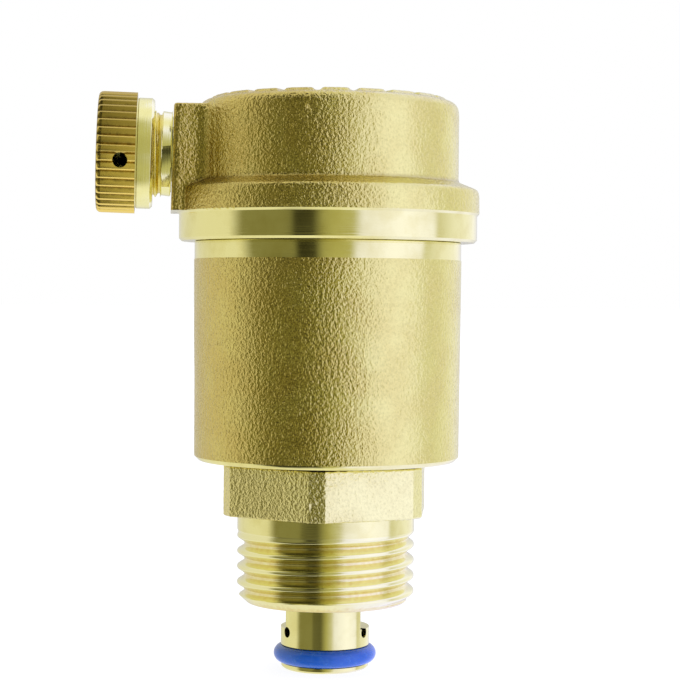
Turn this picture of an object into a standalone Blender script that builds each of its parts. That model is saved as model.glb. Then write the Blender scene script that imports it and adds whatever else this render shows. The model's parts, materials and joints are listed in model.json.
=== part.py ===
"""Automatic air vent on a self-closing valve base, with a side outlet and a knurled knob.

The origin is the middle of the male pipe thread at the underside of the hexagon. +Z runs up along
the vent's axis, and the outlet points to -X. Profiles are written in millimetres as (radius, height)
and are scaled to metres when they become meshes. A turned profile runs down its outer side.
"""

from math import cos, pi, radians, sin, tan

import bmesh
import bpy
from mathutils import Matrix, Vector

MM = 0.001
MERGE = 1e-6
FIT = 0.1  # gap between pieces that touch, in millimetres

STEPS_LARGE = 40
STEPS_MEDIUM = 28
STEPS_SMALL = 20

# Male pipe thread G1/2: right-hand, 14 turns to the inch
PIPE_PITCH = 25.4 / 14
PIPE_R = 10.375
PIPE_ROOT_R = 9.3
PIPE_NECK = 2.1  # plain neck under the hexagon
PIPE_END = -10.45
PIPE_END_CHAMFER = 1.45  # inwards
PIPE_END_CHAMFER_RISE = 0.85
RIDGE_TURNS = 4.5
RIDGE_START = -0.24  # in pitches, under the thread's end
RIDGE_HALF_ROOT = 0.42  # in pitches
RIDGE_HALF_CREST = 0.13
RIDGE_SINK = 0.25  # how deep the ridge's root stands in the core

# Hexagon of the valve base
HEX_FLATS = 22.8
HEX_HEIGHT = 5.8
HEX_CORNER_FLAT = 1.8
HEX_TURN = radians(-99)

# Joint between vent and valve base: G3/8
NIPPLE_R = 8.2
NIPPLE_END = -1.0
SOCKET_R = 8.35

# Inside of the valve base
SPRING_ROOM_R = 6.8
SHELF = -6.0  # carries the spring
SEAT_BORE_R = 5.35
SEAT_TOP = -9.2
SEAT_FLARE = 1.85  # the 45 degree seat's rise and spread
SOCKET_CHAMFER = 0.7

# Plunger, its O-ring, spring and clip
STEM_R = 4.5
STEM_BORE_R = 3.2
STEM_BORE_END = -15.0
STEM_TOP = NIPPLE_END - FIT
CLIP_GROOVE_TOP = -2.1
CLIP_GROOVE_BOTTOM = -2.9
CLIP_GROOVE_R = 4.05
GUIDE_R = 5.2
GUIDE_TOP = -11.3
GUIDE_FLAT = 4.1  # distance of the two flats from the axis
GUIDE_FLAT_FOOT = -13.4
GUIDE_FLAT_TURN = radians(-5)
RING_CENTRE_R = 5.0
RING_CORD_R = 1.0
RING_Z = -16.55
PLUNGER_END = -18.25
PORT_R = 0.7
PORT_Z = -13.8
PORT_ANGLES = [radians(-33 + 120 * k) for k in range(3)]
SPRING_WIRE_R = 0.35
SPRING_TURNS = 2.5
SPRING_STEPS = 16  # points to a turn
SPRING_GAP = 0.08
CLIP_R = 6.2
CLIP_OPENING = 3.0

# Body
BODY_R = 15.65
BODY_BOTTOM = HEX_HEIGHT + 0.15
BODY_CHAMFER = 0.55
BODY_INNER_R = 13.7
BODY_FLOOR = 8.0
BODY_SHOULDER = 31.3
BODY_THREAD_R = 15.1
BODY_RIM = 36.4
INLET_BORE_R = 3.6
GASKET_INNER_R = 8.7
GASKET_OUTER_R = 10.4
GASKET_TOP = 6.5

# Cap
CAP_BOTTOM = 31.4
CAP_RING_R = 17.4
CAP_RING_TOP = 34.7
CAP_FLANGE_R = 17.65
CAP_FLANGE_EDGE = 37.5
CAP_WALL_FOOT = 38.6
CAP_R = 15.2
CAP_TOP = 47.95
CAP_SHOULDER_R = 2.6
CAP_BORE_R = 15.3
CAP_SEAT = 37.45
CAP_INNER_R = 13.5
CAP_CEILING = 46.2
PAD_COUNT = 21
PAD_WIDTH = 2.8
PAD_LENGTH = 3.6
PAD_HEIGHT = 0.33
PAD_CENTRE_R = 12.2
PAD_TURN = radians(2.8)

# Outlet boss, nozzle and knob. Distances along the outlet start at the boss face and grow outward.
OUTLET_FACE_X = -18.2
OUTLET_Z = 41.6
OUTLET_TILT = radians(1.5)
BOSS_HALF_WIDTH = 5.8
BOSS_TOP = 47.15
BOSS_ROUND = 1.2
BOSS_ROOT_X = -13.8  # inside the cap's wall
INNER_BOSS_HALF_WIDTH = 4.6
INNER_BOSS_FOOT = -3.75
INNER_BOSS_TOP = 4.7
INNER_BOSS_START = -3.5
INNER_BOSS_END = -6.0
SHANK_R = 3.2
SHANK_BORE_R = 3.3
COLLAR_R = 5.4
COLLAR_START = 0.35
COLLAR_END = 1.3
STUB_R = 5.0
STUB_END = 4.9
NOZZLE_END = 6.0
NOZZLE_BORE_R = 0.9
NOZZLE_NOSE_R = 2.3
NOZZLE_NOSE_CHAMFER = 0.6
TIP_R = 1.2
TIP_END = -9.0
ORIFICE_R = 0.6
KNOB_START = 2.2
KNOB_STEP = 4.2
KNOB_END = 8.75
KNOB_COLLAR_R = 6.4
KNOB_R = 7.0
KNOB_ROUND = 0.6
KNOB_COLLAR_EDGE = 0.2
KNOB_BORE_R = 5.1
KNOB_BORE_END = 7.5
KNURL_COUNT = 40
KNURL_DEPTH = 0.28
KNOB_HOLE_R = 0.85
KNOB_HOLE_AT = 5.9
KNOB_HOLE_TURN = radians(-101)
KNOB_SEAL_START = 6.8
KNOB_SEAL_END = KNOB_BORE_END - FIT

# Float lever, in the outlet's own frame: distance along the outlet, and height over its axis
BRACKET_FRONT = INNER_BOSS_END - FIT
BRACKET_SHEET = 0.8
BRACKET_HALF_WIDTH = 5.6
BRACKET_TOP = 4.0
BRACKET_FOOT = -4.5
EAR_TOP = -1.3
EAR_END = -12.0
NUT_FLATS = 8.0
NUT_THICK = 1.1
NUT_GAP = 0.2
PIVOT_AT = -10.6
PIVOT_HEIGHT = -2.9
PIVOT_PIN_R = 0.75
PIN_CLEARANCE = 0.06
PIN_HEAD = 0.4  # how far a pin stands out of its piece
HUB_R = 1.5
HUB_HALF_WIDTH = 4.5
PAD_FACE = TIP_END - FIT
PAD_THICK = 1.0
PAD_R = 1.35
LEVER_REACH = 8.4
LEVER_OPEN = radians(22.4)
LEVER_SHEET = 1.0
FORK_INNER = 1.3
FORK_OUTER = 2.3
WEB_REACH = 5.9
WEB_HALF_THICK = 1.0
PRONG_HALF_THICK = 0.9
PRONG_TIP = 1.2  # how far a prong runs past the link pin
LINK_PIN_R = 0.5

# Float
FLOAT_R = 12.0
FLOAT_WALL = 1.0
FLOAT_BOTTOM = 10.0
FLOAT_RIM = 30.4
LID_TOP = 31.7
LID_SPIGOT = 29.0
EYE_HALF_THICK = 0.8
EYE_SLOT_CLEARANCE = 0.12
EYE_WALL = 0.9

BRASS = (0.60, 0.49, 0.20)
BRIGHT_BRASS = (0.78, 0.70, 0.38)
STEEL = (0.60, 0.60, 0.58)
BLUE_RUBBER = (0.02, 0.10, 0.55)
BLACK_RUBBER = (0.03, 0.03, 0.03)
GREY_FIBRE = (0.35, 0.34, 0.32)
WHITE_PLASTIC = (0.85, 0.85, 0.82)


# ---------------------------------------------------------------- scene, materials, collections

def clear_scene():
    for obj in list(bpy.data.objects):
        bpy.data.objects.remove(obj)


def collection(name):
    made = bpy.data.collections.new(name)
    bpy.context.scene.collection.children.link(made)
    return made


def material(name, colour, metallic, roughness):
    made = bpy.data.materials.new(name)
    made.use_nodes = True
    shader = made.node_tree.nodes["Principled BSDF"]
    shader.inputs["Base Color"].default_value = (*colour, 1)
    shader.inputs["Metallic"].default_value = metallic
    shader.inputs["Roughness"].default_value = roughness
    made.diffuse_color = (*colour, 1)
    return made


clear_scene()
PARTS = collection("automatic_air_vent")
CUTTERS = collection("cutters")
CAST = material("cast_brass", BRASS, 1.0, 0.5)
TURNED = material("turned_brass", BRIGHT_BRASS, 1.0, 0.2)
SPRING_STEEL = material("steel", STEEL, 1.0, 0.3)
BLUE = material("blue_rubber", BLUE_RUBBER, 0.0, 0.35)
BLACK = material("black_rubber", BLACK_RUBBER, 0.0, 0.6)
FIBRE = material("fibre", GREY_FIBRE, 0.0, 0.8)
PLASTIC = material("white_plastic", WHITE_PLASTIC, 0.0, 0.4)


# ---------------------------------------------------------------- building blocks

def empty(name, matrix, parent=None):
    """An axis that pieces are placed on."""
    made = bpy.data.objects.new(name, None)
    made.empty_display_size = 5 * MM
    PARTS.objects.link(made)
    made.parent = parent
    made.matrix_local = matrix
    return made


def add(name, mesh, finish, parent=None, place=None):
    """A piece of the vent, or a cutter where finish is None."""
    made = bpy.data.objects.new(name, mesh)
    if finish is None:
        CUTTERS.objects.link(made)
        made.hide_render = True
        made.display_type = "WIRE"
    else:
        PARTS.objects.link(made)
        made.data.materials.append(finish)
    made.parent = parent
    if place is not None:
        made.matrix_local = place
    return made


def turned(name, profile, steps, finish, parent=None, place=None):
    """Turns (radius, height) points round local Z. A profile that misses the axis is closed into a ring."""
    mesh = bpy.data.meshes.new(name)
    points = [(r * MM, 0, z * MM) for r, z in profile]
    edges = [(k, k + 1) for k in range(len(points) - 1)]
    if profile[0][0] > 0:
        edges.append((len(points) - 1, 0))
    mesh.from_pydata(points, edges, [])
    made = add(name, mesh, finish, parent, place)
    screw = made.modifiers.new("turn", "SCREW")
    screw.steps = steps
    screw.render_steps = steps
    screw.use_smooth_shade = False
    screw.use_merge_vertices = True
    screw.merge_threshold = MERGE
    return made


def ring(name, inner, outer, bottom, top, steps, finish, parent=None):
    profile = [(inner, top), (outer, top), (outer, bottom), (inner, bottom)]
    return turned(name, profile, steps, finish, parent)


def block(name, low, high, finish, parent=None, place=None):
    """A box between two corners."""
    bm = bmesh.new()
    bmesh.ops.create_cube(bm, size=1)
    size = [(b - a) * MM for a, b in zip(low, high)]
    middle = [(a + b) / 2 * MM for a, b in zip(low, high)]
    bmesh.ops.scale(bm, vec=size, verts=bm.verts)
    bmesh.ops.translate(bm, vec=middle, verts=bm.verts)
    mesh = bpy.data.meshes.new(name)
    bm.to_mesh(mesh)
    bm.free()
    return add(name, mesh, finish, parent, place)


def prism(name, radius, bottom, top, sides, finish, parent=None, place=None):
    """A cylinder, or a hexagon of that corner radius, along local Z."""
    bm = bmesh.new()
    bmesh.ops.create_cone(
        bm, cap_ends=True, segments=sides, radius1=radius * MM, radius2=radius * MM, depth=(top - bottom) * MM
    )
    bmesh.ops.translate(bm, vec=(0, 0, (top + bottom) / 2 * MM), verts=bm.verts)
    mesh = bpy.data.meshes.new(name)
    bm.to_mesh(mesh)
    bm.free()
    return add(name, mesh, finish, parent, place)


def combine(obj, tool, operation):
    modifier = obj.modifiers.new(operation.lower() + "_" + tool.name, "BOOLEAN")
    modifier.operation = operation
    modifier.solver = "EXACT"
    modifier.object = tool


def cut(obj, tool):
    combine(obj, tool, "DIFFERENCE")


def join(obj, tool):
    combine(obj, tool, "UNION")


def to_mesh(obj):
    """Applies an object's modifiers and welds loose caps, so that the result can be cut or joined."""
    bpy.context.view_layer.update()
    graph = bpy.context.evaluated_depsgraph_get()
    mesh = bpy.data.meshes.new_from_object(obj.evaluated_get(graph))
    bm = bmesh.new()
    bm.from_mesh(mesh)
    bmesh.ops.remove_doubles(bm, verts=bm.verts, dist=MERGE)
    bmesh.ops.holes_fill(bm, edges=bm.edges)
    bmesh.ops.recalc_face_normals(bm, faces=bm.faces)
    bm.to_mesh(mesh)
    bm.free()
    return mesh


def arc(centre, radius, start, end, count):
    """Points on an arc of a profile, angles in degrees from the +radius direction."""
    angles = [radians(start + (end - start) * k / count) for k in range(count + 1)]
    return [(centre[0] + radius * cos(a), centre[1] + radius * sin(a)) for a in angles]


def along_y(at=(0, 0, 0)):
    """Places local Z along Y."""
    return Matrix.Translation(Vector(at) * MM) @ Matrix.Rotation(-pi / 2, 4, "X")


# ---------------------------------------------------------------- valve base and plunger

def pipe_thread_ridge():
    """The raised helix of the pipe thread, a right-hand ridge that is joined to the core."""
    middle = PIPE_END + RIDGE_START * PIPE_PITCH
    half_root = RIDGE_HALF_ROOT * PIPE_PITCH
    half_crest = RIDGE_HALF_CREST * PIPE_PITCH
    profile = [
        (PIPE_ROOT_R - RIDGE_SINK, half_root),
        (PIPE_R, half_crest),
        (PIPE_R, -half_crest),
        (PIPE_ROOT_R - RIDGE_SINK, -half_root),
    ]
    points = [(r * MM, 0, (middle + z) * MM) for r, z in profile]
    mesh = bpy.data.meshes.new("pipe_thread_ridge")
    mesh.from_pydata(points, [(0, 1), (1, 2), (2, 3), (3, 0)], [])
    helix = add("pipe_thread_helix", mesh, None)
    screw = helix.modifiers.new("helix", "SCREW")
    screw.angle = 2 * pi * RIDGE_TURNS
    screw.screw_offset = PIPE_PITCH * RIDGE_TURNS * MM
    screw.steps = round(STEPS_SMALL * RIDGE_TURNS)
    screw.render_steps = screw.steps
    solid = to_mesh(helix)
    bpy.data.objects.remove(helix)
    return add("pipe_thread_ridge", solid, None)


def valve_base():
    corner_r = HEX_FLATS / 2 / cos(pi / 6)
    base = prism("valve_base", corner_r, 0, HEX_HEIGHT, 6, CAST, place=Matrix.Rotation(HEX_TURN, 4, "Z"))
    bevel_hex_corners(base)
    core_top = HEX_HEIGHT / 2
    core = [
        (0, core_top),
        (PIPE_R, core_top),
        (PIPE_R, -PIPE_NECK),
        (PIPE_ROOT_R, -PIPE_NECK - 1.1),
        (PIPE_ROOT_R, PIPE_END - 1),
        (0, PIPE_END - 1),
    ]
    join(base, turned("pipe_core", core, STEPS_LARGE, None))
    join(base, pipe_thread_ridge())
    outside_r = PIPE_R + 3
    end_cut = [
        (0, PIPE_END),
        (PIPE_R - PIPE_END_CHAMFER, PIPE_END),
        (PIPE_R + 0.3, PIPE_END + PIPE_END_CHAMFER_RISE),
        (outside_r, PIPE_END + PIPE_END_CHAMFER_RISE),
        (outside_r, PIPE_END - 4),
        (0, PIPE_END - 4),
    ]
    cut(base, turned("pipe_end_cutter", end_cut, STEPS_LARGE, None))
    bore = [
        (0, HEX_HEIGHT + SOCKET_CHAMFER),
        (SOCKET_R + 2 * SOCKET_CHAMFER, HEX_HEIGHT + SOCKET_CHAMFER),
        (SOCKET_R, HEX_HEIGHT - SOCKET_CHAMFER),
        (SOCKET_R, NIPPLE_END),
        (SPRING_ROOM_R, NIPPLE_END),
        (SPRING_ROOM_R, SHELF),
        (SEAT_BORE_R, SHELF),
        (SEAT_BORE_R, SEAT_TOP),
        (SEAT_BORE_R + SEAT_FLARE, SEAT_TOP - SEAT_FLARE),
        (0, SEAT_TOP - SEAT_FLARE),
    ]
    cut(base, turned("base_bore_cutter", bore, STEPS_LARGE, None))


def bevel_hex_corners(base):
    """Cuts the six upright corners to narrow flats."""
    bm = bmesh.new()
    bm.from_mesh(base.data)
    upright = [e for e in bm.edges if abs(e.verts[0].co.z - e.verts[1].co.z) > MM]
    offset = HEX_CORNER_FLAT / 2 / cos(pi / 6)
    bmesh.ops.bevel(bm, geom=upright, offset=offset * MM, offset_type="OFFSET", segments=1, affect="EDGES")
    bm.to_mesh(base.data)
    bm.free()


def plunger():
    groove_top = RING_Z + RING_CORD_R + 0.05
    groove_bottom = RING_Z - RING_CORD_R - 0.05
    groove_r = RING_CENTRE_R - RING_CORD_R - FIT
    profile = [
        (0, STEM_BORE_END),
        (STEM_BORE_R, STEM_BORE_END),
        (STEM_BORE_R, STEM_TOP),
        (STEM_R, STEM_TOP),
        (STEM_R, CLIP_GROOVE_TOP),
        (CLIP_GROOVE_R, CLIP_GROOVE_TOP),
        (CLIP_GROOVE_R, CLIP_GROOVE_BOTTOM),
        (STEM_R, CLIP_GROOVE_BOTTOM),
        (STEM_R, GUIDE_TOP + 0.4),
        (GUIDE_R, GUIDE_TOP - 0.3),
        (GUIDE_R, groove_top),
        (groove_r, groove_top),
        (groove_r, groove_bottom),
        (GUIDE_R - 0.1, groove_bottom),
        (GUIDE_R - 0.1, PLUNGER_END + 0.3),
        (GUIDE_R - 0.4, PLUNGER_END),
        (0, PLUNGER_END),
    ]
    made = turned("plunger", profile, STEPS_MEDIUM, TURNED)
    for number in range(2):
        turn = Matrix.Rotation(GUIDE_FLAT_TURN + number * pi, 4, "Z")
        low = (GUIDE_FLAT, -GUIDE_R, GUIDE_FLAT_FOOT)
        high = (GUIDE_R + 1, GUIDE_R, GUIDE_TOP + 1.5)
        cut(made, block(f"flat_cutter_{number + 1}", low, high, None, place=turn))
    level = Matrix.Translation((0, 0, PORT_Z * MM)) @ Matrix.Rotation(pi / 2, 4, "Y")
    for number, angle in enumerate(PORT_ANGLES, 1):
        place = Matrix.Rotation(angle, 4, "Z") @ level
        cut(made, prism(f"port_cutter_{number}", PORT_R, 2, GUIDE_R + 2, 12, None, place=place))


def o_ring():
    profile = arc((RING_CENTRE_R, RING_Z), RING_CORD_R, 90, -240, 11)
    turned("plunger_o_ring", profile, STEPS_MEDIUM, BLUE)


def plunger_spring():
    """A round wire coil between the valve base's web and the plunger's clip."""
    coil_r = (SPRING_ROOM_R + STEM_R) / 2
    low = SHELF + SPRING_WIRE_R + SPRING_GAP
    high = CLIP_GROOVE_BOTTOM + FIT - SPRING_WIRE_R - SPRING_GAP
    curve = bpy.data.curves.new("plunger_spring", "CURVE")
    curve.dimensions = "3D"
    curve.bevel_depth = SPRING_WIRE_R * MM
    curve.bevel_resolution = 2
    curve.use_fill_caps = True
    count = round(SPRING_TURNS * SPRING_STEPS) + 1
    spline = curve.splines.new("POLY")
    spline.points.add(count - 1)
    for k, point in enumerate(spline.points):
        angle = 2 * pi * k / SPRING_STEPS
        height = low + (high - low) * k / (count - 1)
        point.co = (coil_r * cos(angle) * MM, coil_r * sin(angle) * MM, height * MM, 1)
    add("plunger_spring", curve, SPRING_STEEL)


def plunger_clip():
    """A snap ring, open on one side so that it can be pushed into the plunger's groove."""
    inner = CLIP_GROOVE_R + FIT
    bottom = CLIP_GROOVE_BOTTOM + FIT
    top = CLIP_GROOVE_TOP - FIT
    clip = ring("plunger_clip", inner, CLIP_R, bottom, top, STEPS_MEDIUM, SPRING_STEEL)
    gap_low = (inner / 2, -CLIP_OPENING / 2, bottom - 1)
    gap_high = (CLIP_R + 1, CLIP_OPENING / 2, top + 1)
    cut(clip, block("clip_gap_cutter", gap_low, gap_high, None))


# ---------------------------------------------------------------- body, cap and their seals

def base_gasket():
    ring("base_gasket", GASKET_INNER_R, GASKET_OUTER_R, HEX_HEIGHT + FIT, GASKET_TOP, STEPS_MEDIUM, FIBRE)


def body():
    recess = GASKET_TOP + FIT
    profile = [
        (BODY_INNER_R, BODY_RIM),
        (BODY_THREAD_R - 0.3, BODY_RIM),
        (BODY_THREAD_R, BODY_RIM - 0.3),
        (BODY_THREAD_R, BODY_SHOULDER),
        (BODY_R - 0.2, BODY_SHOULDER),
        (BODY_R, BODY_SHOULDER - 0.2),
        (BODY_R, BODY_BOTTOM + BODY_CHAMFER),
        (BODY_R - BODY_CHAMFER, BODY_BOTTOM),
        (GASKET_OUTER_R + 0.3, BODY_BOTTOM),
        (GASKET_OUTER_R + 0.3, recess),
        (NIPPLE_R, recess),
        (NIPPLE_R, NIPPLE_END + 0.5),
        (NIPPLE_R - 0.5, NIPPLE_END),
        (INLET_BORE_R, NIPPLE_END),
        (INLET_BORE_R, BODY_FLOOR),
        (BODY_INNER_R - 1, BODY_FLOOR),
        (BODY_INNER_R, BODY_FLOOR + 1),
    ]
    turned("body", profile, STEPS_LARGE, CAST)


def cap_seal():
    inner = BODY_INNER_R + 0.15
    outer = BODY_THREAD_R - 0.05
    ring("cap_seal", inner, outer, BODY_RIM + FIT, CAP_SEAT - FIT, STEPS_LARGE, BLACK)


def cap():
    shoulder = arc((CAP_R - CAP_SHOULDER_R, CAP_TOP - CAP_SHOULDER_R), CAP_SHOULDER_R, 90, 0, 5)
    outside = [
        (0, CAP_TOP),
        *shoulder,
        (CAP_R, CAP_WALL_FOOT + 0.3),
        (CAP_R + 0.25, CAP_WALL_FOOT),
        (CAP_FLANGE_R - 0.35, CAP_FLANGE_EDGE + 0.3),
        (CAP_FLANGE_R, CAP_FLANGE_EDGE - 0.2),
        (CAP_FLANGE_R, CAP_RING_TOP),
        (CAP_RING_R, CAP_RING_TOP),
        (CAP_RING_R, CAP_BOTTOM + 0.5),
        (CAP_RING_R - 0.4, CAP_BOTTOM),
        (0, CAP_BOTTOM),
    ]
    inside = [
        (0, CAP_CEILING),
        (CAP_INNER_R - 1, CAP_CEILING),
        (CAP_INNER_R, CAP_CEILING - 1),
        (CAP_INNER_R, CAP_SEAT),
        (CAP_BORE_R, CAP_SEAT),
        (CAP_BORE_R, CAP_BOTTOM - 1),
        (0, CAP_BOTTOM - 1),
    ]
    made = turned("cap", outside, STEPS_LARGE, CAST)
    join(made, outlet_boss())
    for pad in grip_pads():
        join(made, pad)
    cut(made, turned("cap_inside_cutter", inside, STEPS_LARGE, None))
    inner_low = (INNER_BOSS_FOOT, -INNER_BOSS_HALF_WIDTH, INNER_BOSS_END)
    inner_high = (INNER_BOSS_TOP, INNER_BOSS_HALF_WIDTH, INNER_BOSS_START)
    join(made, block("inner_boss", inner_low, inner_high, None, OUTLET))
    cut(made, prism("outlet_bore_cutter", SHANK_BORE_R, INNER_BOSS_END - 1, 2, 24, None, OUTLET))


def outlet_boss():
    """A block on the cap's side with rounded upright edges and a face square to the outlet."""
    low = (OUTLET_FACE_X, -BOSS_HALF_WIDTH, CAP_RING_TOP)
    boss = block("outlet_boss", low, (BOSS_ROOT_X, BOSS_HALF_WIDTH, BOSS_TOP), None)
    middle = (OUTLET_FACE_X + BOSS_ROOT_X) / 2 * MM
    for vertex in boss.data.vertices:
        if vertex.co.x < middle:
            vertex.co.x += (vertex.co.z - OUTLET_Z * MM) * tan(OUTLET_TILT)
    bm = bmesh.new()
    bm.from_mesh(boss.data)
    face_edges = [e for e in bm.edges if all(v.co.x < middle for v in e.verts)]
    upright = [e for e in face_edges if abs(e.verts[0].co.y - e.verts[1].co.y) < MM]
    offset = BOSS_ROUND * MM
    bmesh.ops.bevel(bm, geom=upright, offset=offset, offset_type="OFFSET", segments=3, affect="EDGES")
    bm.to_mesh(boss.data)
    bm.free()
    return boss


def grip_pads():
    """Low radial pads round the edge of the cap's top."""
    pads = []
    for k in range(PAD_COUNT):
        place = Matrix.Rotation(2 * pi * (k + 0.5) / PAD_COUNT + PAD_TURN, 4, "Z")
        low = (PAD_CENTRE_R - PAD_LENGTH / 2, -PAD_WIDTH / 2, CAP_TOP - 0.8)
        high = (PAD_CENTRE_R + PAD_LENGTH / 2 - 0.5, PAD_WIDTH / 2, CAP_TOP + PAD_HEIGHT)
        pad = block(f"grip_pad_{k + 1}", low, high, None, place=place)
        for vertex in pad.data.vertices:
            if vertex.co.z > CAP_TOP * MM:
                vertex.co.y *= 0.6
                vertex.co.x += (PAD_CENTRE_R * MM - vertex.co.x) * 0.25
        pads.append(pad)
    return pads


# ---------------------------------------------------------------- outlet nozzle and knob

def nozzle_seal():
    ring("nozzle_seal", SHANK_BORE_R, COLLAR_R - 0.2, 0.05, COLLAR_START - 0.05, STEPS_MEDIUM, FIBRE, OUTLET)


def outlet_nozzle():
    shank_end = BRACKET_FRONT - BRACKET_SHEET - NUT_THICK - NUT_GAP
    profile = [
        (NOZZLE_BORE_R, NOZZLE_END),
        (NOZZLE_NOSE_R - NOZZLE_NOSE_CHAMFER, NOZZLE_END),
        (NOZZLE_NOSE_R, NOZZLE_END - NOZZLE_NOSE_CHAMFER),
        (NOZZLE_NOSE_R, STUB_END),
        (STUB_R - 0.4, STUB_END),
        (STUB_R, STUB_END - 0.4),
        (STUB_R, COLLAR_END),
        (COLLAR_R, COLLAR_END),
        (COLLAR_R, COLLAR_START),
        (SHANK_R, COLLAR_START),
        (SHANK_R, shank_end),
        (TIP_R, shank_end),
        (TIP_R, TIP_END),
        (ORIFICE_R, TIP_END),
        (ORIFICE_R, TIP_END + 1),
        (NOZZLE_BORE_R, TIP_END + 1.3),
    ]
    turned("outlet_nozzle", profile, STEPS_MEDIUM, TURNED, OUTLET)


def knob():
    """A knurled cap with a smooth collar, bored from the collar's side and drilled through its rim."""
    made = prism("knob", KNOB_R, KNOB_STEP, KNOB_END, 2 * KNURL_COUNT, TURNED, OUTLET)
    for vertex in made.data.vertices:
        angle = vertex.co.to_2d().angle_signed(Vector((1, 0)))
        if round(angle / (pi / KNURL_COUNT)) % 2:
            vertex.co.x *= 1 - KNURL_DEPTH / KNOB_R
            vertex.co.y *= 1 - KNURL_DEPTH / KNOB_R
    collar = [
        (0, KNOB_STEP + 1),
        (KNOB_COLLAR_R - 0.6, KNOB_STEP + 1),
        (KNOB_COLLAR_R, KNOB_STEP - 0.1),
        (KNOB_COLLAR_R, KNOB_START + KNOB_COLLAR_EDGE),
        (KNOB_COLLAR_R - KNOB_COLLAR_EDGE, KNOB_START),
        (0, KNOB_START),
    ]
    join(made, turned("knob_collar", collar, STEPS_MEDIUM, None, OUTLET))
    rim = [
        (KNOB_R - KNOB_ROUND, KNOB_END + 0.5),
        (KNOB_R + 1, KNOB_END + 0.5),
        (KNOB_R + 1, KNOB_END - KNOB_ROUND),
        (KNOB_R, KNOB_END - KNOB_ROUND),
        (KNOB_R - KNOB_ROUND, KNOB_END),
    ]
    cut(made, turned("knob_rim_cutter", rim, 2 * KNURL_COUNT, None, OUTLET))
    bore_mouth = KNOB_START - 1
    cut(made, prism("knob_bore_cutter", KNOB_BORE_R, bore_mouth, KNOB_BORE_END, STEPS_MEDIUM, None, OUTLET))
    hole = (
        Matrix.Translation((0, 0, KNOB_HOLE_AT * MM))
        @ Matrix.Rotation(KNOB_HOLE_TURN, 4, "Z")
        @ Matrix.Rotation(pi / 2, 4, "Y")
    )
    cut(made, prism("knob_hole_cutter", KNOB_HOLE_R, KNOB_BORE_R - 2, KNOB_R + 2, 12, None, OUTLET, hole))


def knob_seal():
    disc = [
        (0, KNOB_SEAL_END),
        (KNOB_BORE_R - 0.2, KNOB_SEAL_END),
        (KNOB_BORE_R - 0.2, KNOB_SEAL_START),
        (0, KNOB_SEAL_START),
    ]
    turned("knob_seal", disc, STEPS_MEDIUM, BLACK, OUTLET)


# ---------------------------------------------------------------- float lever

def lever_bracket():
    """A sheet bracket: a plate on the nozzle's shank with an ear at each side for the pivot pin.
    In the outlet's frame local Z runs outward and local X runs up."""
    back = BRACKET_FRONT - BRACKET_SHEET
    plate_low = (BRACKET_FOOT, -BRACKET_HALF_WIDTH, back)
    plate_high = (BRACKET_TOP, BRACKET_HALF_WIDTH, BRACKET_FRONT)
    plate = block("lever_bracket", plate_low, plate_high, SPRING_STEEL, OUTLET)
    for side in (-1, 1):
        ys = sorted((side * (BRACKET_HALF_WIDTH - BRACKET_SHEET), side * BRACKET_HALF_WIDTH))
        ear_low = (BRACKET_FOOT, ys[0], EAR_END)
        ear_high = (EAR_TOP, ys[1], back + BRACKET_SHEET / 2)
        join(plate, block(f"bracket_ear_{side + 2}", ear_low, ear_high, None, OUTLET))
    cut(plate, prism("bracket_bore_cutter", SHANK_BORE_R, back - 1, BRACKET_FRONT + 1, 24, None, OUTLET))
    pin_hole = along_y((PIVOT_HEIGHT, 0, PIVOT_AT))
    pin_reach = BRACKET_HALF_WIDTH + 1
    pin_r = PIVOT_PIN_R + PIN_CLEARANCE
    cut(plate, prism("bracket_pin_cutter", pin_r, -pin_reach, pin_reach, 16, None, OUTLET, pin_hole))


def bracket_nut():
    front = BRACKET_FRONT - BRACKET_SHEET - FIT
    nut = prism("bracket_nut", NUT_FLATS / 2 / cos(pi / 6), front - NUT_THICK + FIT, front, 6, TURNED, OUTLET)
    cut(nut, prism("nut_bore_cutter", SHANK_BORE_R, front - 3, front + 1, 24, None, OUTLET))


def lever_pin():
    pin_half = BRACKET_HALF_WIDTH + PIN_HEAD
    place = along_y((PIVOT_HEIGHT, 0, PIVOT_AT))
    prism("lever_pin", PIVOT_PIN_R, -pin_half, pin_half, 16, SPRING_STEEL, OUTLET, place)


def lever():
    """A bell crank. In the pivot's frame the short arm stands along +X and the long arm lies along -Z."""
    hub = prism("lever", HUB_R, -HUB_HALF_WIDTH, HUB_HALF_WIDTH, STEPS_SMALL, PLASTIC, LEVER, along_y())
    pad_back = PAD_FACE - PAD_THICK - FIT - PIVOT_AT
    arm_low = (0, -FORK_OUTER, pad_back - LEVER_SHEET)
    arm_high = (PAD_R - PIVOT_HEIGHT, FORK_OUTER, pad_back)
    join(hub, block("short_arm", arm_low, arm_high, None, LEVER))
    web_low = (-WEB_HALF_THICK, -FORK_OUTER, -WEB_REACH)
    join(hub, block("fork_web", web_low, (WEB_HALF_THICK, FORK_OUTER, 0), None, LEVER))
    for side in (-1, 1):
        ys = sorted((side * FORK_INNER, side * FORK_OUTER))
        prong_low = (-PRONG_HALF_THICK, ys[0], -LEVER_REACH - PRONG_TIP)
        prong_high = (PRONG_HALF_THICK, ys[1], -WEB_REACH + 1)
        join(hub, block(f"fork_prong_{side + 2}", prong_low, prong_high, None, LEVER))
    bore_half = HUB_HALF_WIDTH + 1
    bore_r = PIVOT_PIN_R + PIN_CLEARANCE
    cut(hub, prism("lever_bore_cutter", bore_r, -bore_half, bore_half, 16, None, LEVER, along_y()))
    link_half = FORK_OUTER + 1
    link_hole = along_y((0, 0, -LEVER_REACH))
    link_r = LINK_PIN_R + PIN_CLEARANCE
    cut(hub, prism("link_hole_cutter", link_r, -link_half, link_half, 12, None, LEVER, link_hole))


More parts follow.
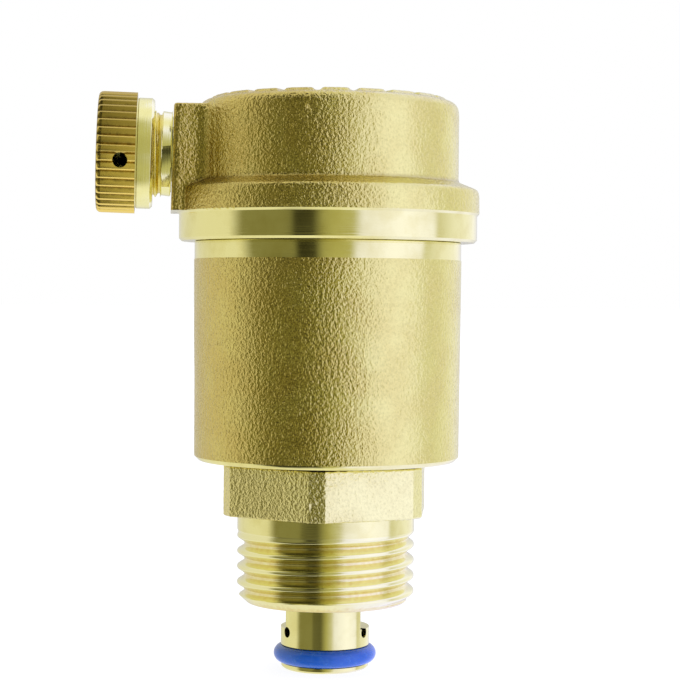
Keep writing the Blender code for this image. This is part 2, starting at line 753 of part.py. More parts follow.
def lever_pad():
    face = PAD_FACE - PIVOT_AT
    place = Matrix.Translation((-PIVOT_HEIGHT * MM, 0, 0))
    prism("lever_pad", PAD_R, face - PAD_THICK, face, STEPS_SMALL, BLACK, LEVER, place)


def link_pin():
    place = along_y((0, 0, -LEVER_REACH))
    half = FORK_OUTER + PIN_HEAD
    prism("link_pin", LINK_PIN_R, -half, half, 12, SPRING_STEEL, LEVER, place)


# ---------------------------------------------------------------- float

def float_shell():
    profile = [
        (0, FLOAT_BOTTOM + FLOAT_WALL),
        (FLOAT_R - FLOAT_WALL - 1.5, FLOAT_BOTTOM + FLOAT_WALL),
        (FLOAT_R - FLOAT_WALL, FLOAT_BOTTOM + FLOAT_WALL + 1.5),
        (FLOAT_R - FLOAT_WALL, FLOAT_RIM),
        (FLOAT_R, FLOAT_RIM),
        (FLOAT_R, FLOAT_BOTTOM + 2),
        (FLOAT_R - 2, FLOAT_BOTTOM),
        (0, FLOAT_BOTTOM),
    ]
    turned("float_shell", profile, STEPS_MEDIUM, PLASTIC)


def float_lid(hook):
    """The float's lid, with an upright eye whose slot lets the lever's pin swing through its arc."""
    spigot_r = FLOAT_R - FLOAT_WALL - FIT
    profile = [
        (0, LID_TOP),
        (FLOAT_R - 0.5, LID_TOP),
        (FLOAT_R, LID_TOP - 0.5),
        (FLOAT_R, FLOAT_RIM + FIT),
        (spigot_r, FLOAT_RIM + FIT),
        (spigot_r, LID_SPIGOT),
        (spigot_r - FLOAT_WALL, LID_SPIGOT),
        (spigot_r - FLOAT_WALL, FLOAT_RIM + FIT),
        (0, FLOAT_RIM + FIT),
    ]
    made = turned("float_lid", profile, STEPS_MEDIUM, PLASTIC)
    swing = LEVER_REACH * (cos(OUTLET_TILT) - cos(LEVER_OPEN + OUTLET_TILT))
    half_slot = LINK_PIN_R + EYE_SLOT_CLEARANCE
    low = (hook[0] - half_slot - EYE_WALL + 0.2, -EYE_HALF_THICK, LID_TOP - 0.8)
    high = (hook[0] + swing + half_slot + EYE_WALL, EYE_HALF_THICK, hook[2] + half_slot + EYE_WALL)
    join(made, block("float_eye", low, high, None))
    slot_low = (hook[0] - half_slot, -3, hook[2] - half_slot)
    slot_high = (hook[0] + swing + half_slot, 3, hook[2] + half_slot)
    cut(made, block("eye_slot_cutter", slot_low, slot_high, None))


# ---------------------------------------------------------------- axes and assembly

def outlet_matrix():
    """Local Z points outward along the outlet, and local X points up."""
    outward = Vector((-cos(OUTLET_TILT), 0, sin(OUTLET_TILT)))
    up = Vector((sin(OUTLET_TILT), 0, cos(OUTLET_TILT)))
    across = outward.cross(up)
    turn = Matrix((up, across, outward)).transposed().to_4x4()
    return Matrix.Translation(Vector((OUTLET_FACE_X, 0, OUTLET_Z)) * MM) @ turn


def lever_matrix():
    """The pivot, turned back from the closed position by the lever's opening angle."""
    pivot = Matrix.Translation(Vector((PIVOT_HEIGHT, 0, PIVOT_AT)) * MM)
    return pivot @ Matrix.Rotation(LEVER_OPEN, 4, "Y")


OUTLET = empty("outlet_axis", outlet_matrix())
LEVER = empty("lever_pivot", lever_matrix(), OUTLET)
HOOK = (outlet_matrix() @ lever_matrix() @ Vector((0, 0, -LEVER_REACH * MM))) / MM

valve_base()
plunger()
o_ring()
plunger_spring()
plunger_clip()
base_gasket()
body()
cap_seal()
cap()
nozzle_seal()
outlet_nozzle()
knob()
knob_seal()
lever_bracket()
bracket_nut()
lever_pin()
lever()
lever_pad()
link_pin()
float_shell()
float_lid(HOOK)
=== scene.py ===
"""Looks of the automatic air vent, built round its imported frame.

Shapes are made in millimetres, either in the row frame or in the outlet's own frame, and become metres
when they are placed. The outlet's Z runs outward along it. A turned outline runs down its outer side.
"""

import json
from math import asin, cos, pi, radians, sin, sqrt, tan

import bmesh
import bpy
import numpy as np
from mathutils import Matrix, Vector, noise


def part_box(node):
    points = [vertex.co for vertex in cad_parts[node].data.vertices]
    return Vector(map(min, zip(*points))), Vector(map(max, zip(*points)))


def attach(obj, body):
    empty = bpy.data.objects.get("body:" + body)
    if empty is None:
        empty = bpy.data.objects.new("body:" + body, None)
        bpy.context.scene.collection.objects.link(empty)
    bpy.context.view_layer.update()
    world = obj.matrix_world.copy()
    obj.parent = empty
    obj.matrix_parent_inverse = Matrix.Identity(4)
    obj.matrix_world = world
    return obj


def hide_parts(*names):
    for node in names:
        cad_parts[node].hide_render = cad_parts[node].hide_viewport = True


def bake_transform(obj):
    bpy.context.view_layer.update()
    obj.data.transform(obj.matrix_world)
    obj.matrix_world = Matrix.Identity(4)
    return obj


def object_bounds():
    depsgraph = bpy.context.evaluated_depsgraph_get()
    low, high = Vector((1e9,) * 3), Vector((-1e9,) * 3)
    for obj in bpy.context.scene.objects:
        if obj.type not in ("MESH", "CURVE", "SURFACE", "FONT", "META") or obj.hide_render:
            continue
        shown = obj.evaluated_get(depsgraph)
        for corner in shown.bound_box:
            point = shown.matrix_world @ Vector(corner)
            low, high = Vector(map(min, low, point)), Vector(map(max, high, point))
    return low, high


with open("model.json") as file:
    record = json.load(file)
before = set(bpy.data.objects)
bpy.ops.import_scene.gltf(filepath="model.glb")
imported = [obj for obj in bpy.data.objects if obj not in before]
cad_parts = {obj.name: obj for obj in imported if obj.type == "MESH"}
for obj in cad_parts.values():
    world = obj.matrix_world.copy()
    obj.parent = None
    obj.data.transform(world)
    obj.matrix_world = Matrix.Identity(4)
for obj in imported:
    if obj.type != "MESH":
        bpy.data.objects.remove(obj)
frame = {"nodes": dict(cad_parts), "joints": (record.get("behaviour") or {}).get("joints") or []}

CAD_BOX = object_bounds()
MM = 0.001
TO_METRES = Matrix.Scale(MM, 4)
JOINTS = {joint["name"]: joint for joint in frame["joints"]}


def box_mm(node_name):
    low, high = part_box(node_name)
    return low / MM, high / MM


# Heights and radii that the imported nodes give
BASE_LOW, BASE_HIGH = box_mm("valve_base")
BODY_LOW, BODY_HIGH = box_mm("body")
CAP_LOW, CAP_HIGH = box_mm("cap")
PLUNGER_LOW, PLUNGER_HIGH = box_mm("plunger")
RING_LOW, RING_HIGH = box_mm("plunger_o_ring")
OUTLET_AT = Vector(JOINTS["knob_turn"]["pos_m"]) / MM
OUTWARD = Vector(JOINTS["knob_turn"]["axis"]).normalized()

# Camera
CAMERA_TURN = radians(-5)  # it stands a little towards the outlet's side
CAMERA_AT = (1.50, -232, 25.56)  # in its own directions, as in seen()
CAMERA_PITCH = radians(1.33)
CAMERA_ROLL = radians(0.47)
CAMERA_LENS = 104.8

# Meshes
ARC_STEPS = 4
CAST_STEP = 0.18  # spacing of points on a cast surface
ROUND_COLUMNS = 192
CAST_COLUMNS = 560
FINE_COLUMNS = 256

# Grain of the shot-blasted casting
GRAIN_SIZE = 0.42
GRAIN_HEIGHT = 0.022
GRAIN_FADE = 0.3  # how far from a machined edge the grain has its full height
SWELL_SIZE = 6.0
SWELL_HEIGHT = 0.03
SHADED_HOLLOW_REACH = 1.5  # how wide a hollow may be and still get painted shade

# Valve base
PIPE_PITCH = 25.4 / 14
PIPE_CREST = 10.375
PIPE_DEPTH = 0.84
PIPE_NECK = 2.0
PIPE_END = BASE_LOW.z
PIPE_END_R = 9.25
PIPE_CHAMFER = 1.05
HEX_FLATS = 22.8
HEX_HEIGHT = BASE_HIGH.z
HEX_CORNER_FLAT = 1.8
HEX_TURN = radians(-99)
HEX_EDGE = 0.14
SOCKET_R = 8.35
SOCKET_FLOOR = -1
SPRING_BORE_R = 6.8
SPRING_SHELF = -6.0
SEAT_R = 5.35
SEAT_FOOT = -9.2

# Plunger
STEM_R = 4.5
STEM_BORE_R = 3.2
STEM_BORE_END = -15.0
CLIP_GROOVE_R = 4.05
CLIP_GROOVE_LOW = -2.9
CLIP_GROOVE_HIGH = -2.1
CLIP_INNER_R = 4.15
CLIP_GAP = 3.0
GUIDE_R = 5.18
GUIDE_TOP = -10.9
GUIDE_FLATS = (4.15, 4.55)  # how far out the flat on the right and the flat on the left lie
GUIDE_FLAT_FOOT = -13.4
PORT_COUNT = 3
PORT_R = 0.62
PORT_HEIGHT = -13.8
PORT_DEGREES = -33  # the first port's direction from +X
RING_GROOVE_R = 3.9
FOOT_R = 5.1
SPRING_R = 5.65
SPRING_WIRE_R = 0.35
SPRING_TURNS = 2.5
SPRING_TOP = -2.8  # the clip's underside
SPRING_GAP = 0.08

# Body
BODY_R = 15.61
BODY_DRAFT = 0.14  # smaller at its foot
BAND_R = 15.57
BAND_FOOT = 29.45
SHOULDER = 31.57
COLLAR_R = 15.1
BODY_BOTTOM = 6.15
BODY_CHAMFER = 0.50
CHAMBER_R = 13.7
CHAMBER_FLOOR = 8.0
NIPPLE_R = 8.2
NIPPLE_BORE_R = 3.6
NIPPLE_PITCH = 25.4 / 19
NIPPLE_DEPTH = 0.80
GASKET_RECESS_R = 10.7

# Cap
CAP_BOTTOM = CAP_LOW.z + 0.2
RING_R = 17.4
RING_TOP = 34.95
CASTING_FOOT = RING_TOP - 1.2  # the casting is made longer and then faced off at the ring's top
FLANGE_R = CAP_HIGH.x
FLANGE_EDGE = 37.45
WALL_FOOT = 38.6
CAP_R = 15.2
CAP_TOP = 48.0
CAP_SHOULDER = 1.5
CAP_BORE_R = 13.5
CAP_CEILING = 46.2
CAP_SEAL_SEAT = 37.45
CAP_THREAD_R = 15.3
PAD_COUNT = 21
PAD_TURN = radians(2.8)
PAD_HEIGHT = 0.36
PAD_START = 10.4
PAD_END = 14.0
PAD_INNER_HALF_WIDTH = 1.15
PAD_OUTER_HALF_WIDTH = 1.72
PAD_MIDDLE = 12.0  # radius that a pad's top draws in towards
BOSS_HALF_WIDTH = 5.5
BOSS_TOP = 47.15
BOSS_ROOT_X = -12.5
BOSS_FILLET = 1.6  # how far the fillet reaches from the corner between boss and wall
INNER_BOSS = ((-3.75, -4.6, -6.0), (4.7, 4.6, -3.5))  # its corners in the outlet's frame
OUTLET_BORE_R = 3.3
SPOT_FACE_R = 5.5

# Nozzle and knob, along the outlet from the boss face
NOZZLE_COLLAR_R = 5.4
NOZZLE_COLLAR_BACK = 0.10
NOZZLE_COLLAR_FRONT = 1.3
NOZZLE_TIP = 6.0
NOZZLE_BORE_R = 0.9
SHANK_R = 3.2
SHANK_END = -8.2
JET_R = 1.2
JET_END = -9.0
STUB_R = 5.0
STUB_END = 4.9
STUB_PITCH = 0.5
STUB_DEPTH = 0.27
KNOB_START = 2.2
KNOB_STEP = 4.2
KNOB_END = 8.64
KNOB_COLLAR_R = 6.4
KNOB_R = 7.0
KNOB_BORE_R = 5.1
KNOB_HOLE_R = 0.85
KNOB_HOLE_AT = 5.9
KNOB_HOLE_TURN = radians(-101)
KNURL_COUNT = 40
KNURL_DEPTH = 0.30

# Tints of the studio's light
CREAM = (1.0, 0.99, 1.0)
OLIVE = (1.0, 0.965, 0.50)
COOL = (1.0, 1.02, 1.75)
PALE = (1.0, 1.01, 1.30)


def outlet_frame():
    """The outlet's own frame, in millimetres: Z outward and X up."""
    across = OUTWARD.cross(Vector((0, 0, 1))).normalized()
    up = across.cross(OUTWARD)
    turn = Matrix((up, across, OUTWARD)).transposed().to_4x4()
    return Matrix.Translation(OUTLET_AT) @ turn


OUTLET = outlet_frame()


def seen(x, y, z):
    """A place given in the camera's directions: x to its right and y away from it."""
    return Matrix.Rotation(CAMERA_TURN, 3, "Z") @ Vector((x, y, z))


# ---------------------------------------------------------------- outlines

def bend(start, corner, end, steps):
    """Points of a curve from start to end that bends round a corner."""
    shares = [k / steps for k in range(steps + 1)]
    return [start * (1 - t) ** 2 + corner * (2 * t * (1 - t)) + end * t * t for t in shares]


def outline(corners, closed=False):
    """Points of an outline of corners (radius, height) or (radius, height, rounding)."""
    points = []
    for k, corner in enumerate(corners):
        here = Vector(corner[:2])
        if len(corner) < 3 or (not closed and k in (0, len(corners) - 1)):
            points.append(here)
            continue
        back = Vector(corners[k - 1][:2]) - here
        ahead = Vector(corners[(k + 1) % len(corners)][:2]) - here
        reach = corner[2] / tan(back.angle(ahead) / 2)
        start = here + back.normalized() * reach
        end = here + ahead.normalized() * reach
        points += bend(start, here, end, ARC_STEPS)
    return points


def spaced(points, step):
    """The same line with points no further apart than step."""
    done = [Vector(points[0])]
    for point in points[1:]:
        start, end = done[-1].copy(), Vector(point)
        count = max(1, round((end - start).length / step))
        done += [start.lerp(end, (i + 1) / count) for i in range(count)]
    return done


def circle(radius, count):
    angles = [2 * pi * k / count for k in range(count)]
    return [(radius * cos(angle), radius * sin(angle)) for angle in angles]


# ---------------------------------------------------------------- meshes

def new_object(name, data):
    made = bpy.data.objects.new(name, data)
    bpy.context.scene.collection.objects.link(made)
    return made


def object_of(name, bm):
    """A new object with the bmesh's mesh. The bmesh is freed."""
    mesh = bpy.data.meshes.new(name)
    bm.to_mesh(mesh)
    bm.free()
    return new_object(name, mesh)


def skin(name, grid, ring=False):
    """A closed surface over rows of points. A ring joins its last row to its first. Any other shape ends
    in a single point at both ends."""
    rows = grid if ring else grid[1:-1]
    points = rows.reshape(-1, 3)
    index = np.arange(len(points)).reshape(rows.shape[:2])
    above = index if ring else index[:-1]
    below = np.roll(index, -1, axis=0) if ring else index[1:]
    beside = [np.roll(below, -1, axis=1), np.roll(above, -1, axis=1)]
    faces = np.stack([above, below, *beside], axis=-1).reshape(-1, 4).tolist()
    if not ring:
        top, bottom = len(points), len(points) + 1
        points = np.concatenate([points, grid[:1, 0], grid[-1:, 0]])
        faces += [[top, a, b] for a, b in zip(index[0], np.roll(index[0], -1))]
        faces += [[bottom, b, a] for a, b in zip(index[-1], np.roll(index[-1], -1))]
    mesh = bpy.data.meshes.new(name)
    mesh.from_pydata(points.tolist(), [], faces)
    bm = bmesh.new()
    bm.from_mesh(mesh)
    bmesh.ops.recalc_face_normals(bm, faces=bm.faces)
    bm.to_mesh(mesh)
    bm.free()
    return new_object(name, mesh)


def lathe(name, points, columns=ROUND_COLUMNS, ring=False, shape=None):
    """Turns (radius, height) points round Z. shape(radius, angle, height) gives a radius that varies."""
    radius, height = np.array(points, float).T[:, :, None]
    angle = np.arange(columns)[None, :] * (2 * pi / columns)
    if shape is not None:
        radius = shape(radius, angle, height)
    x, y, z = np.broadcast_arrays(radius * np.cos(angle), radius * np.sin(angle), height)
    return skin(name, np.stack([x, y, z], axis=-1), ring)


def rod(name, radius, start, end, at=None, columns=64):
    """A cylinder along Z, or along the Z of the frame at."""
    made = lathe(name, [(0, end), (radius, end), (radius, start), (0, start)], columns)
    if at is not None:
        made.data.transform(at)
    return made


def block(name, low, high, at=None, rounding=0, keep=None):
    """A box between two corners. Its edges are rounded, or only those that keep(edge) accepts."""
    bm = bmesh.new()
    bmesh.ops.create_cube(bm, size=1)
    size = Vector(high) - Vector(low)
    bmesh.ops.scale(bm, vec=size, verts=bm.verts)
    bmesh.ops.translate(bm, vec=Vector(low) + size / 2, verts=bm.verts)
    if rounding:
        edges = [e for e in bm.edges if keep is None or keep(e)]
        bmesh.ops.bevel(bm, geom=edges, offset=rounding, segments=4, affect="EDGES", profile=0.5)
    made = object_of(name, bm)
    if at is not None:
        made.data.transform(at)
    return made


def coil(name, radius, start, end, low, high, section, steps):
    """Sweeps a section of (outward, upward) points round Z from one angle and height to another."""
    share = np.linspace(0, 1, steps)
    angle = start + (end - start) * share
    height = low + (high - low) * share
    out = np.stack([np.cos(angle), np.sin(angle), 0 * angle], axis=-1)
    centre = out * radius + np.stack([0 * angle, 0 * angle, height], axis=-1)
    rows = [np.repeat(centre[:1], len(section), axis=0)]
    for c, o in zip(centre, out):
        rows.append(np.array([c + o * a + np.array([0, 0, b]) for a, b in section]))
    rows.append(np.repeat(centre[-1:], len(section), axis=0))
    return skin(name, np.array(rows))


def applied(obj, name, kind, **settings):
    """Adds one modifier and makes its result the object's mesh."""
    modifier = obj.modifiers.new(name, kind)
    for key, value in settings.items():
        setattr(modifier, key, value)
    bpy.context.view_layer.update()
    graph = bpy.context.evaluated_depsgraph_get()
    mesh = bpy.data.meshes.new_from_object(obj.evaluated_get(graph))
    obj.modifiers.clear()
    obj.data = mesh
    return obj


def combine(obj, operation, *tools):
    """Adds the tools to the object or cuts them out of it, and removes them."""
    for tool in tools:
        applied(obj, tool.name, "BOOLEAN", operation=operation, solver="MANIFOLD", object=tool)
        bpy.data.objects.remove(tool)
    return obj


def merged(name, parts):
    """One mesh of several overlapping closed shapes, for a remesh to make into one skin."""
    bm = bmesh.new()
    for part in parts:
        bm.from_mesh(part.data)
        bpy.data.objects.remove(part)
    return object_of(name, bm)


def vectors(items, field):
    """A vector of each of a mesh's items, as rows."""
    values = np.empty(len(items) * 3)
    items.foreach_get(field, values)
    return values.reshape(-1, 3)


def relief(points):
    """Height of the casting's blasted grain and slow unevenness."""
    small = GRAIN_SIZE * 0.46
    shift = Vector((31.7, 11.3, 5.9))
    heights = []
    for point in points:
        p = Vector(point)
        lumps = noise.noise(p / GRAIN_SIZE) + 0.5 * noise.noise(p / small + shift)
        heights.append(GRAIN_HEIGHT * lumps + SWELL_HEIGHT * noise.noise(p / SWELL_SIZE + shift))
    return np.array(heights)


def roughen(obj, share, flaws):
    """Lifts each point by the casting's relief times share(points), and sinks the flaws in. A flaw is
    (centre, radius, depth), and is raised where its depth is negative."""
    mesh = obj.data
    points = vectors(mesh.vertices, "co")
    weight = share(points)
    height = np.zeros(len(points))
    height[weight > 0] = relief(points[weight > 0]) * weight[weight > 0]
    for centre, radius, depth in flaws:
        away = np.linalg.norm(points - np.array(centre), axis=1) / radius
        height -= depth * np.exp(-away**2)
    points += vectors(mesh.vertex_normals, "vector") * height[:, None]
    mesh.vertices.foreach_set("co", points.ravel())
    mesh.update()
    return obj


def hollow_depth(mesh, reach):
    """How far the surface averaged over the reach lies outside each point, in millimetres."""
    points = vectors(mesh.vertices, "co")
    edges = np.empty(len(mesh.edges) * 2, np.int64)
    mesh.edges.foreach_get("vertices", edges)
    one, other = edges.reshape(-1, 2).T
    size = len(points)
    count = np.bincount(edges, minlength=size)[:, None]

    def beside(values):
        return np.bincount(one, values[other], size) + np.bincount(other, values[one], size)

    smooth = points.copy()
    for _ in range(round((reach / CAST_STEP) ** 2)):
        total = np.stack([beside(smooth[:, k]) for k in range(3)], axis=-1)
        smooth = 0.5 * smooth + 0.5 * total / count
    return ((smooth - points) * vectors(mesh.vertex_normals, "vector")).sum(axis=1)


def paint_hollow_shade(obj, reach):
    """Stores how deep each point lies in a hollow, in parts of 0.2 mm, for painted shade in the hollows.
    """
    depth = np.clip(hollow_depth(obj.data, reach) / 0.2, 0, 1.5)
    obj.data.attributes.new("hollow", "FLOAT", "POINT").data.foreach_set("value", depth)


def threaded(crest, depth, pitch, phase, runout_at, runout):
    """Shape of a right-hand V thread with rounded crests and roots, running out upwards to runout_at."""
    def shape(radius, angle, height):
        turn = height / pitch - angle / (2 * pi) - phase
        away = np.abs(turn - np.round(turn))
        wave = np.sin(np.clip((away * 4 - 1) * 1.15, -1, 1) * pi / 2)
        share = np.clip((runout_at - height) / runout, 0, 1)
        return np.minimum(radius, crest - depth / 2 * (1 + wave) * share)
    return shape


# ---------------------------------------------------------------- materials

def node(tree, kind, inputs=None, **settings):
    """Adds a shader node and returns its outputs. An input is linked if it is given a socket."""
    made = tree.nodes.new("ShaderNode" + kind)
    for name, value in settings.items():
        setattr(made, name, value)
    for name, value in (inputs or {}).items():
        if isinstance(value, bpy.types.NodeSocket):
            tree.links.new(value, made.inputs[name])
        else:
            made.inputs[name].default_value = value
    return made.outputs


def ramp(tree, factor, stops):
    """A colour ramp of (position, colour) stops, where a colour may be one grey value."""
    outputs = node(tree, "ValToRGB", {"Fac": factor})
    elements = outputs[0].node.color_ramp.elements
    while len(elements) < len(stops):
        elements.new(1.0)
    for element, (position, colour) in zip(elements, stops):
        element.position = position
        element.color = (*colour, 1) if isinstance(colour, tuple) else (colour, colour, colour, 1)
    return outputs[0]


def calc(tree, operation, *values):
    """One step of arithmetic on numbers and sockets."""
    return node(tree, "Math", dict(enumerate(values)), operation=operation)[0]


def spread(tree, value, low, high, to_low, to_high):
    """Maps low..high to to_low..to_high, and no further."""
    inputs = {"Value": value, "From Min": low, "From Max": high, "To Min": to_low, "To Max": to_high}
    return node(tree, "MapRange", inputs)[0]


def out_from_axis(tree, x, y):
    squares = [calc(tree, "MULTIPLY", value, value) for value in (x, y)]
    return calc(tree, "SQRT", calc(tree, "ADD", *squares))


def grain(tree, coords, size, detail=2.0, **inputs):
    """A noise whose lumps are about size millimetres across."""
    inputs = {"Vector": coords, "Scale": 1 / (size * MM), "Detail": detail, **inputs}
    return node(tree, "TexNoise", inputs)[0]


def mixed(tree, factor, first, second, blend="MIX"):
    """A mix of two colours, each a tuple or a socket."""
    def colour(value):
        return value if isinstance(value, bpy.types.NodeSocket) else (*value, 1)
    inputs = {"Fac": factor, "Color1": colour(first), "Color2": colour(second)}
    return node(tree, "MixRGB", inputs, blend_type=blend)[0]


def bump(tree, height, depth, strength=1.0, under=None):
    """A bump of that depth in millimetres."""
    inputs = {"Height": height, "Distance": depth * MM, "Strength": strength}
    if under is not None:
        inputs["Normal"] = under
    return node(tree, "Bump", inputs)[0]


def material(name, **shader_inputs):
    """A new material with its tree, shader and object coordinates."""
    made = bpy.data.materials.new(name)
    made.use_nodes = True
    tree = made.node_tree
    shader = tree.nodes["Principled BSDF"]
    for key, value in shader_inputs.items():
        shader.inputs[key.replace("_", " ")].default_value = value
    coords = node(tree, "TexCoord")["Object"]
    return made, tree, shader, coords


def set_inputs(tree, shader, **sockets):
    """Links sockets to the shader's inputs, whose names have underscores for spaces."""
    for key, value in sockets.items():
        tree.links.new(value, shader.inputs[key.replace("_", " ")])


def cast_brass(name, dark_tone, lit_tone):
    """Shot-blasted casting with fine bright grain, darker and browner towards -X (the outlet's side) as
    painted shade, and with painted shade in its hollows.
    """
    made, tree, shader, coords = material(name, Metallic=1.0)
    patches = spread(tree, grain(tree, coords, 4.0, 3.0), 0.35, 0.7, -0.2, 0.2)
    across = node(tree, "SeparateXYZ", {"Vector": coords})[0]
    # painted shade: the colour darkens towards -X, the outlet's side, broken up by random patches
    lit_share = calc(tree, "ADD", patches, spread(tree, across, -8 * MM, 7 * MM, 0.1, 0.9))
    lumps = grain(tree, coords, 0.33, 2.0)
    specks = grain(tree, coords, 0.15, 1.0)
    base = mixed(tree, spread(tree, lit_share, 0, 1, 0, 1), dark_tone, lit_tone)
    pitted = ramp(tree, lumps, [(0.30, 0.93), (0.48, 1.0), (0.72, 1.04)])
    colour = mixed(tree, 1.0, base, pitted, "MULTIPLY")
    # painted shade: the cast's hollows darken towards deep brown
    hollow = node(tree, "Attribute", attribute_name="hollow")["Fac"]
    colour = mixed(tree, spread(tree, hollow, 0.5, 1.5, 0, 0.75), colour, (0.34, 0.25, 0.065))
    roughness = spread(tree, lumps, 0.3, 0.7, 0.25, 0.15)
    strength = spread(tree, lit_share, 0.45, 0.9, 1.0, 0.5)
    normal = bump(tree, specks, 0.038, strength, bump(tree, lumps, 0.145, strength))
    set_inputs(tree, shader, Base_Color=colour, Roughness=roughness, Normal=normal)
    return made


def turned_brass(name, colour, dark_tone, roughness, stretch=0.45):
    """Bright turned brass. The tool's fine grooves change along the axis and outwards from it."""
    made, tree, shader, coords = material(name, Metallic=1.0, Anisotropic=stretch)
    x, y, z = node(tree, "SeparateXYZ", {"Vector": coords})
    along = calc(tree, "ADD", z, calc(tree, "MULTIPLY", out_from_axis(tree, x, y), 0.83))
    inputs = {"W": along, "Scale": 1 / (0.16 * MM), "Detail": 2.0}
    grooves = node(tree, "TexNoise", inputs, noise_dimensions="1D")[0]
    stains = grain(tree, coords, 2.5, 3.0)
    tone = mixed(tree, spread(tree, stains, 0.45, 0.75, 0, 0.7), colour, dark_tone)
    rough = calc(tree, "ADD", spread(tree, grooves, 0.3, 0.7, -0.03, 0.05), roughness)
    normal = bump(tree, grooves, 0.006, 0.6)
    tangent = node(tree, "Tangent", direction_type="RADIAL", axis="Z")[0]
    set_inputs(tree, shader, Base_Color=tone, Roughness=rough, Normal=normal, Tangent=tangent)
    return made


def cut_brass(name, colour, shade_tone, root, crest, roughness, x_side_shade=0):
    """Brass of a thread or a knurl, with painted shade towards its root radius and painted shade on its
    +X side, which is the top of the knob.
    """
    made, tree, shader, coords = material(name, Metallic=1.0)
    x, y, _ = node(tree, "SeparateXYZ", {"Vector": coords})
    depth = spread(tree, out_from_axis(tree, x, y), root * MM, crest * MM, 0, 1)
    smear = grain(tree, coords, 0.5, 3.0)
    share = calc(tree, "ADD", depth, spread(tree, smear, 0.3, 0.7, -0.25, 0.25))
    # painted shade: darker towards the root radius
    tone = mixed(tree, spread(tree, share, 0.0, 0.65, 0, 1), shade_tone, colour)
    # painted shade on the +X side, which is the knob's top since its X is up
    tone = mixed(tree, spread(tree, x, -2 * MM, 4 * MM, 0, x_side_shade), tone, shade_tone)
    rough = spread(tree, share, 0.0, 1.0, roughness + 0.05, roughness)
    normal = bump(tree, grain(tree, coords, 0.10, 1.0), 0.008, 0.5)
    set_inputs(tree, shader, Base_Color=tone, Roughness=rough, Normal=normal)
    return made


def rubber(name, colour, light, roughness):
    """Moulded rubber with faint dust and a slightly uneven skin."""
    made, tree, shader, coords = material(name, Specular_IOR_Level=0.5)
    dust = grain(tree, coords, 0.7, 4.0)
    tone = mixed(tree, spread(tree, dust, 0.5, 0.8, 0, 0.6), colour, light)
    rough = spread(tree, dust, 0.3, 0.7, roughness - 0.06, roughness + 0.1)
    normal = bump(tree, grain(tree, coords, 0.25, 2.0), 0.012, 0.6)
    set_inputs(tree, shader, Base_Color=tone, Roughness=rough, Normal=normal)
    return made


def fibre():
    """Pressed fibre sheet with short matted hairs."""
    made, tree, shader, coords = material("fibre", Roughness=0.85)
    stretched = node(tree, "Mapping", {"Vector": coords, "Scale": (1, 1, 5)})[0]
    hairs = grain(tree, stretched, 0.3, 5.0, Distortion=1.5)
    tone = ramp(tree, hairs, [(0.3, (0.10, 0.08, 0.05)), (0.7, (0.24, 0.19, 0.13))])
    set_inputs(tree, shader, Base_Color=tone, Normal=bump(tree, hairs, 0.05))
    return made


def steel():
    """Drawn spring wire and pressed sheet: fine scratches and a little oil."""
    made, tree, shader, coords = material("steel", Metallic=1.0)
    scratched = node(tree, "Mapping", {"Vector": coords, "Scale": (1, 1, 9)})[0]
    scratches = grain(tree, scratched, 0.25, 4.0)
    oil = grain(tree, coords, 2.0, 2.0)
    tone = mixed(tree, spread(tree, oil, 0.4, 0.7, 0, 1), (0.62, 0.62, 0.60), (0.50, 0.49, 0.46))
    rough = spread(tree, scratches, 0.3, 0.7, 0.22, 0.38)
    normal = bump(tree, scratches, 0.006, 0.5)
    set_inputs(tree, shader, Base_Color=tone, Roughness=rough, Normal=normal)
    return made


def white_plastic():
    """Moulded acetal: slightly milky, with faint flow marks."""
    milky = {"Subsurface_Weight": 0.15, "Subsurface_Scale": 0.002}
    made, tree, shader, coords = material("white_plastic", **milky)
    flow = grain(tree, coords, 3.0, 3.0, Distortion=2.0)
    tone = mixed(tree, spread(tree, flow, 0.4, 0.7, 0, 1), (0.86, 0.86, 0.83), (0.78, 0.78, 0.73))
    rough = spread(tree, flow, 0.3, 0.7, 0.36, 0.46)
    normal = bump(tree, grain(tree, coords, 0.2, 2.0), 0.01, 0.5)
    set_inputs(tree, shader, Base_Color=tone, Roughness=rough, Normal=normal)
    return made


# The first colour of cast_brass is the darker one, painted shade for the -X side, and the second its lit
# colour. The others start with the bright metal.
CAST = cast_brass("cast_brass", (0.65, 0.515, 0.137), (0.76, 0.69, 0.215))
HEX_BRASS = cast_brass("cast_brass_hexagon", (0.76, 0.665, 0.25), (0.86, 0.80, 0.32))
TURNED = turned_brass("turned_brass", (0.86, 0.80, 0.33), (0.74, 0.66, 0.22), 0.10)
NOZZLE_BRASS = turned_brass("nozzle_brass", (0.94, 0.90, 0.44), (0.88, 0.82, 0.34), 0.16, stretch=0.2)
# The second colour of each cut_brass is its painted shade, for the roots and the +X side.
PIPE_BRASS = cut_brass(
    "pipe_thread_brass", (0.88, 0.83, 0.40), (0.80, 0.67, 0.28), root=9.3, crest=10.3, roughness=0.13)
NIPPLE_BRASS = cut_brass(
    "nipple_thread_brass", (0.86, 0.76, 0.36), (0.50, 0.33, 0.10), root=7.3, crest=8.2, roughness=0.14)
KNURL_BRASS = cut_brass(
    "knurled_brass", (0.92, 0.70, 0.18), (0.34, 0.25, 0.06), root=6.62, crest=6.96, roughness=0.20,
    x_side_shade=0.7)
STUB_BRASS = cut_brass(
    "stub_thread_brass", (0.95, 0.86, 0.28), (0.76, 0.62, 0.14), root=4.7, crest=5.0, roughness=0.20)
BLUE = rubber("blue_rubber", (0.017, 0.12, 0.57), (0.05, 0.20, 0.62), 0.20)
BLACK = rubber("black_rubber", (0.018, 0.018, 0.018), (0.06, 0.06, 0.06), 0.55)
FIBRE = fibre()
STEEL = steel()
PLASTIC = white_plastic()


# ---------------------------------------------------------------- placing

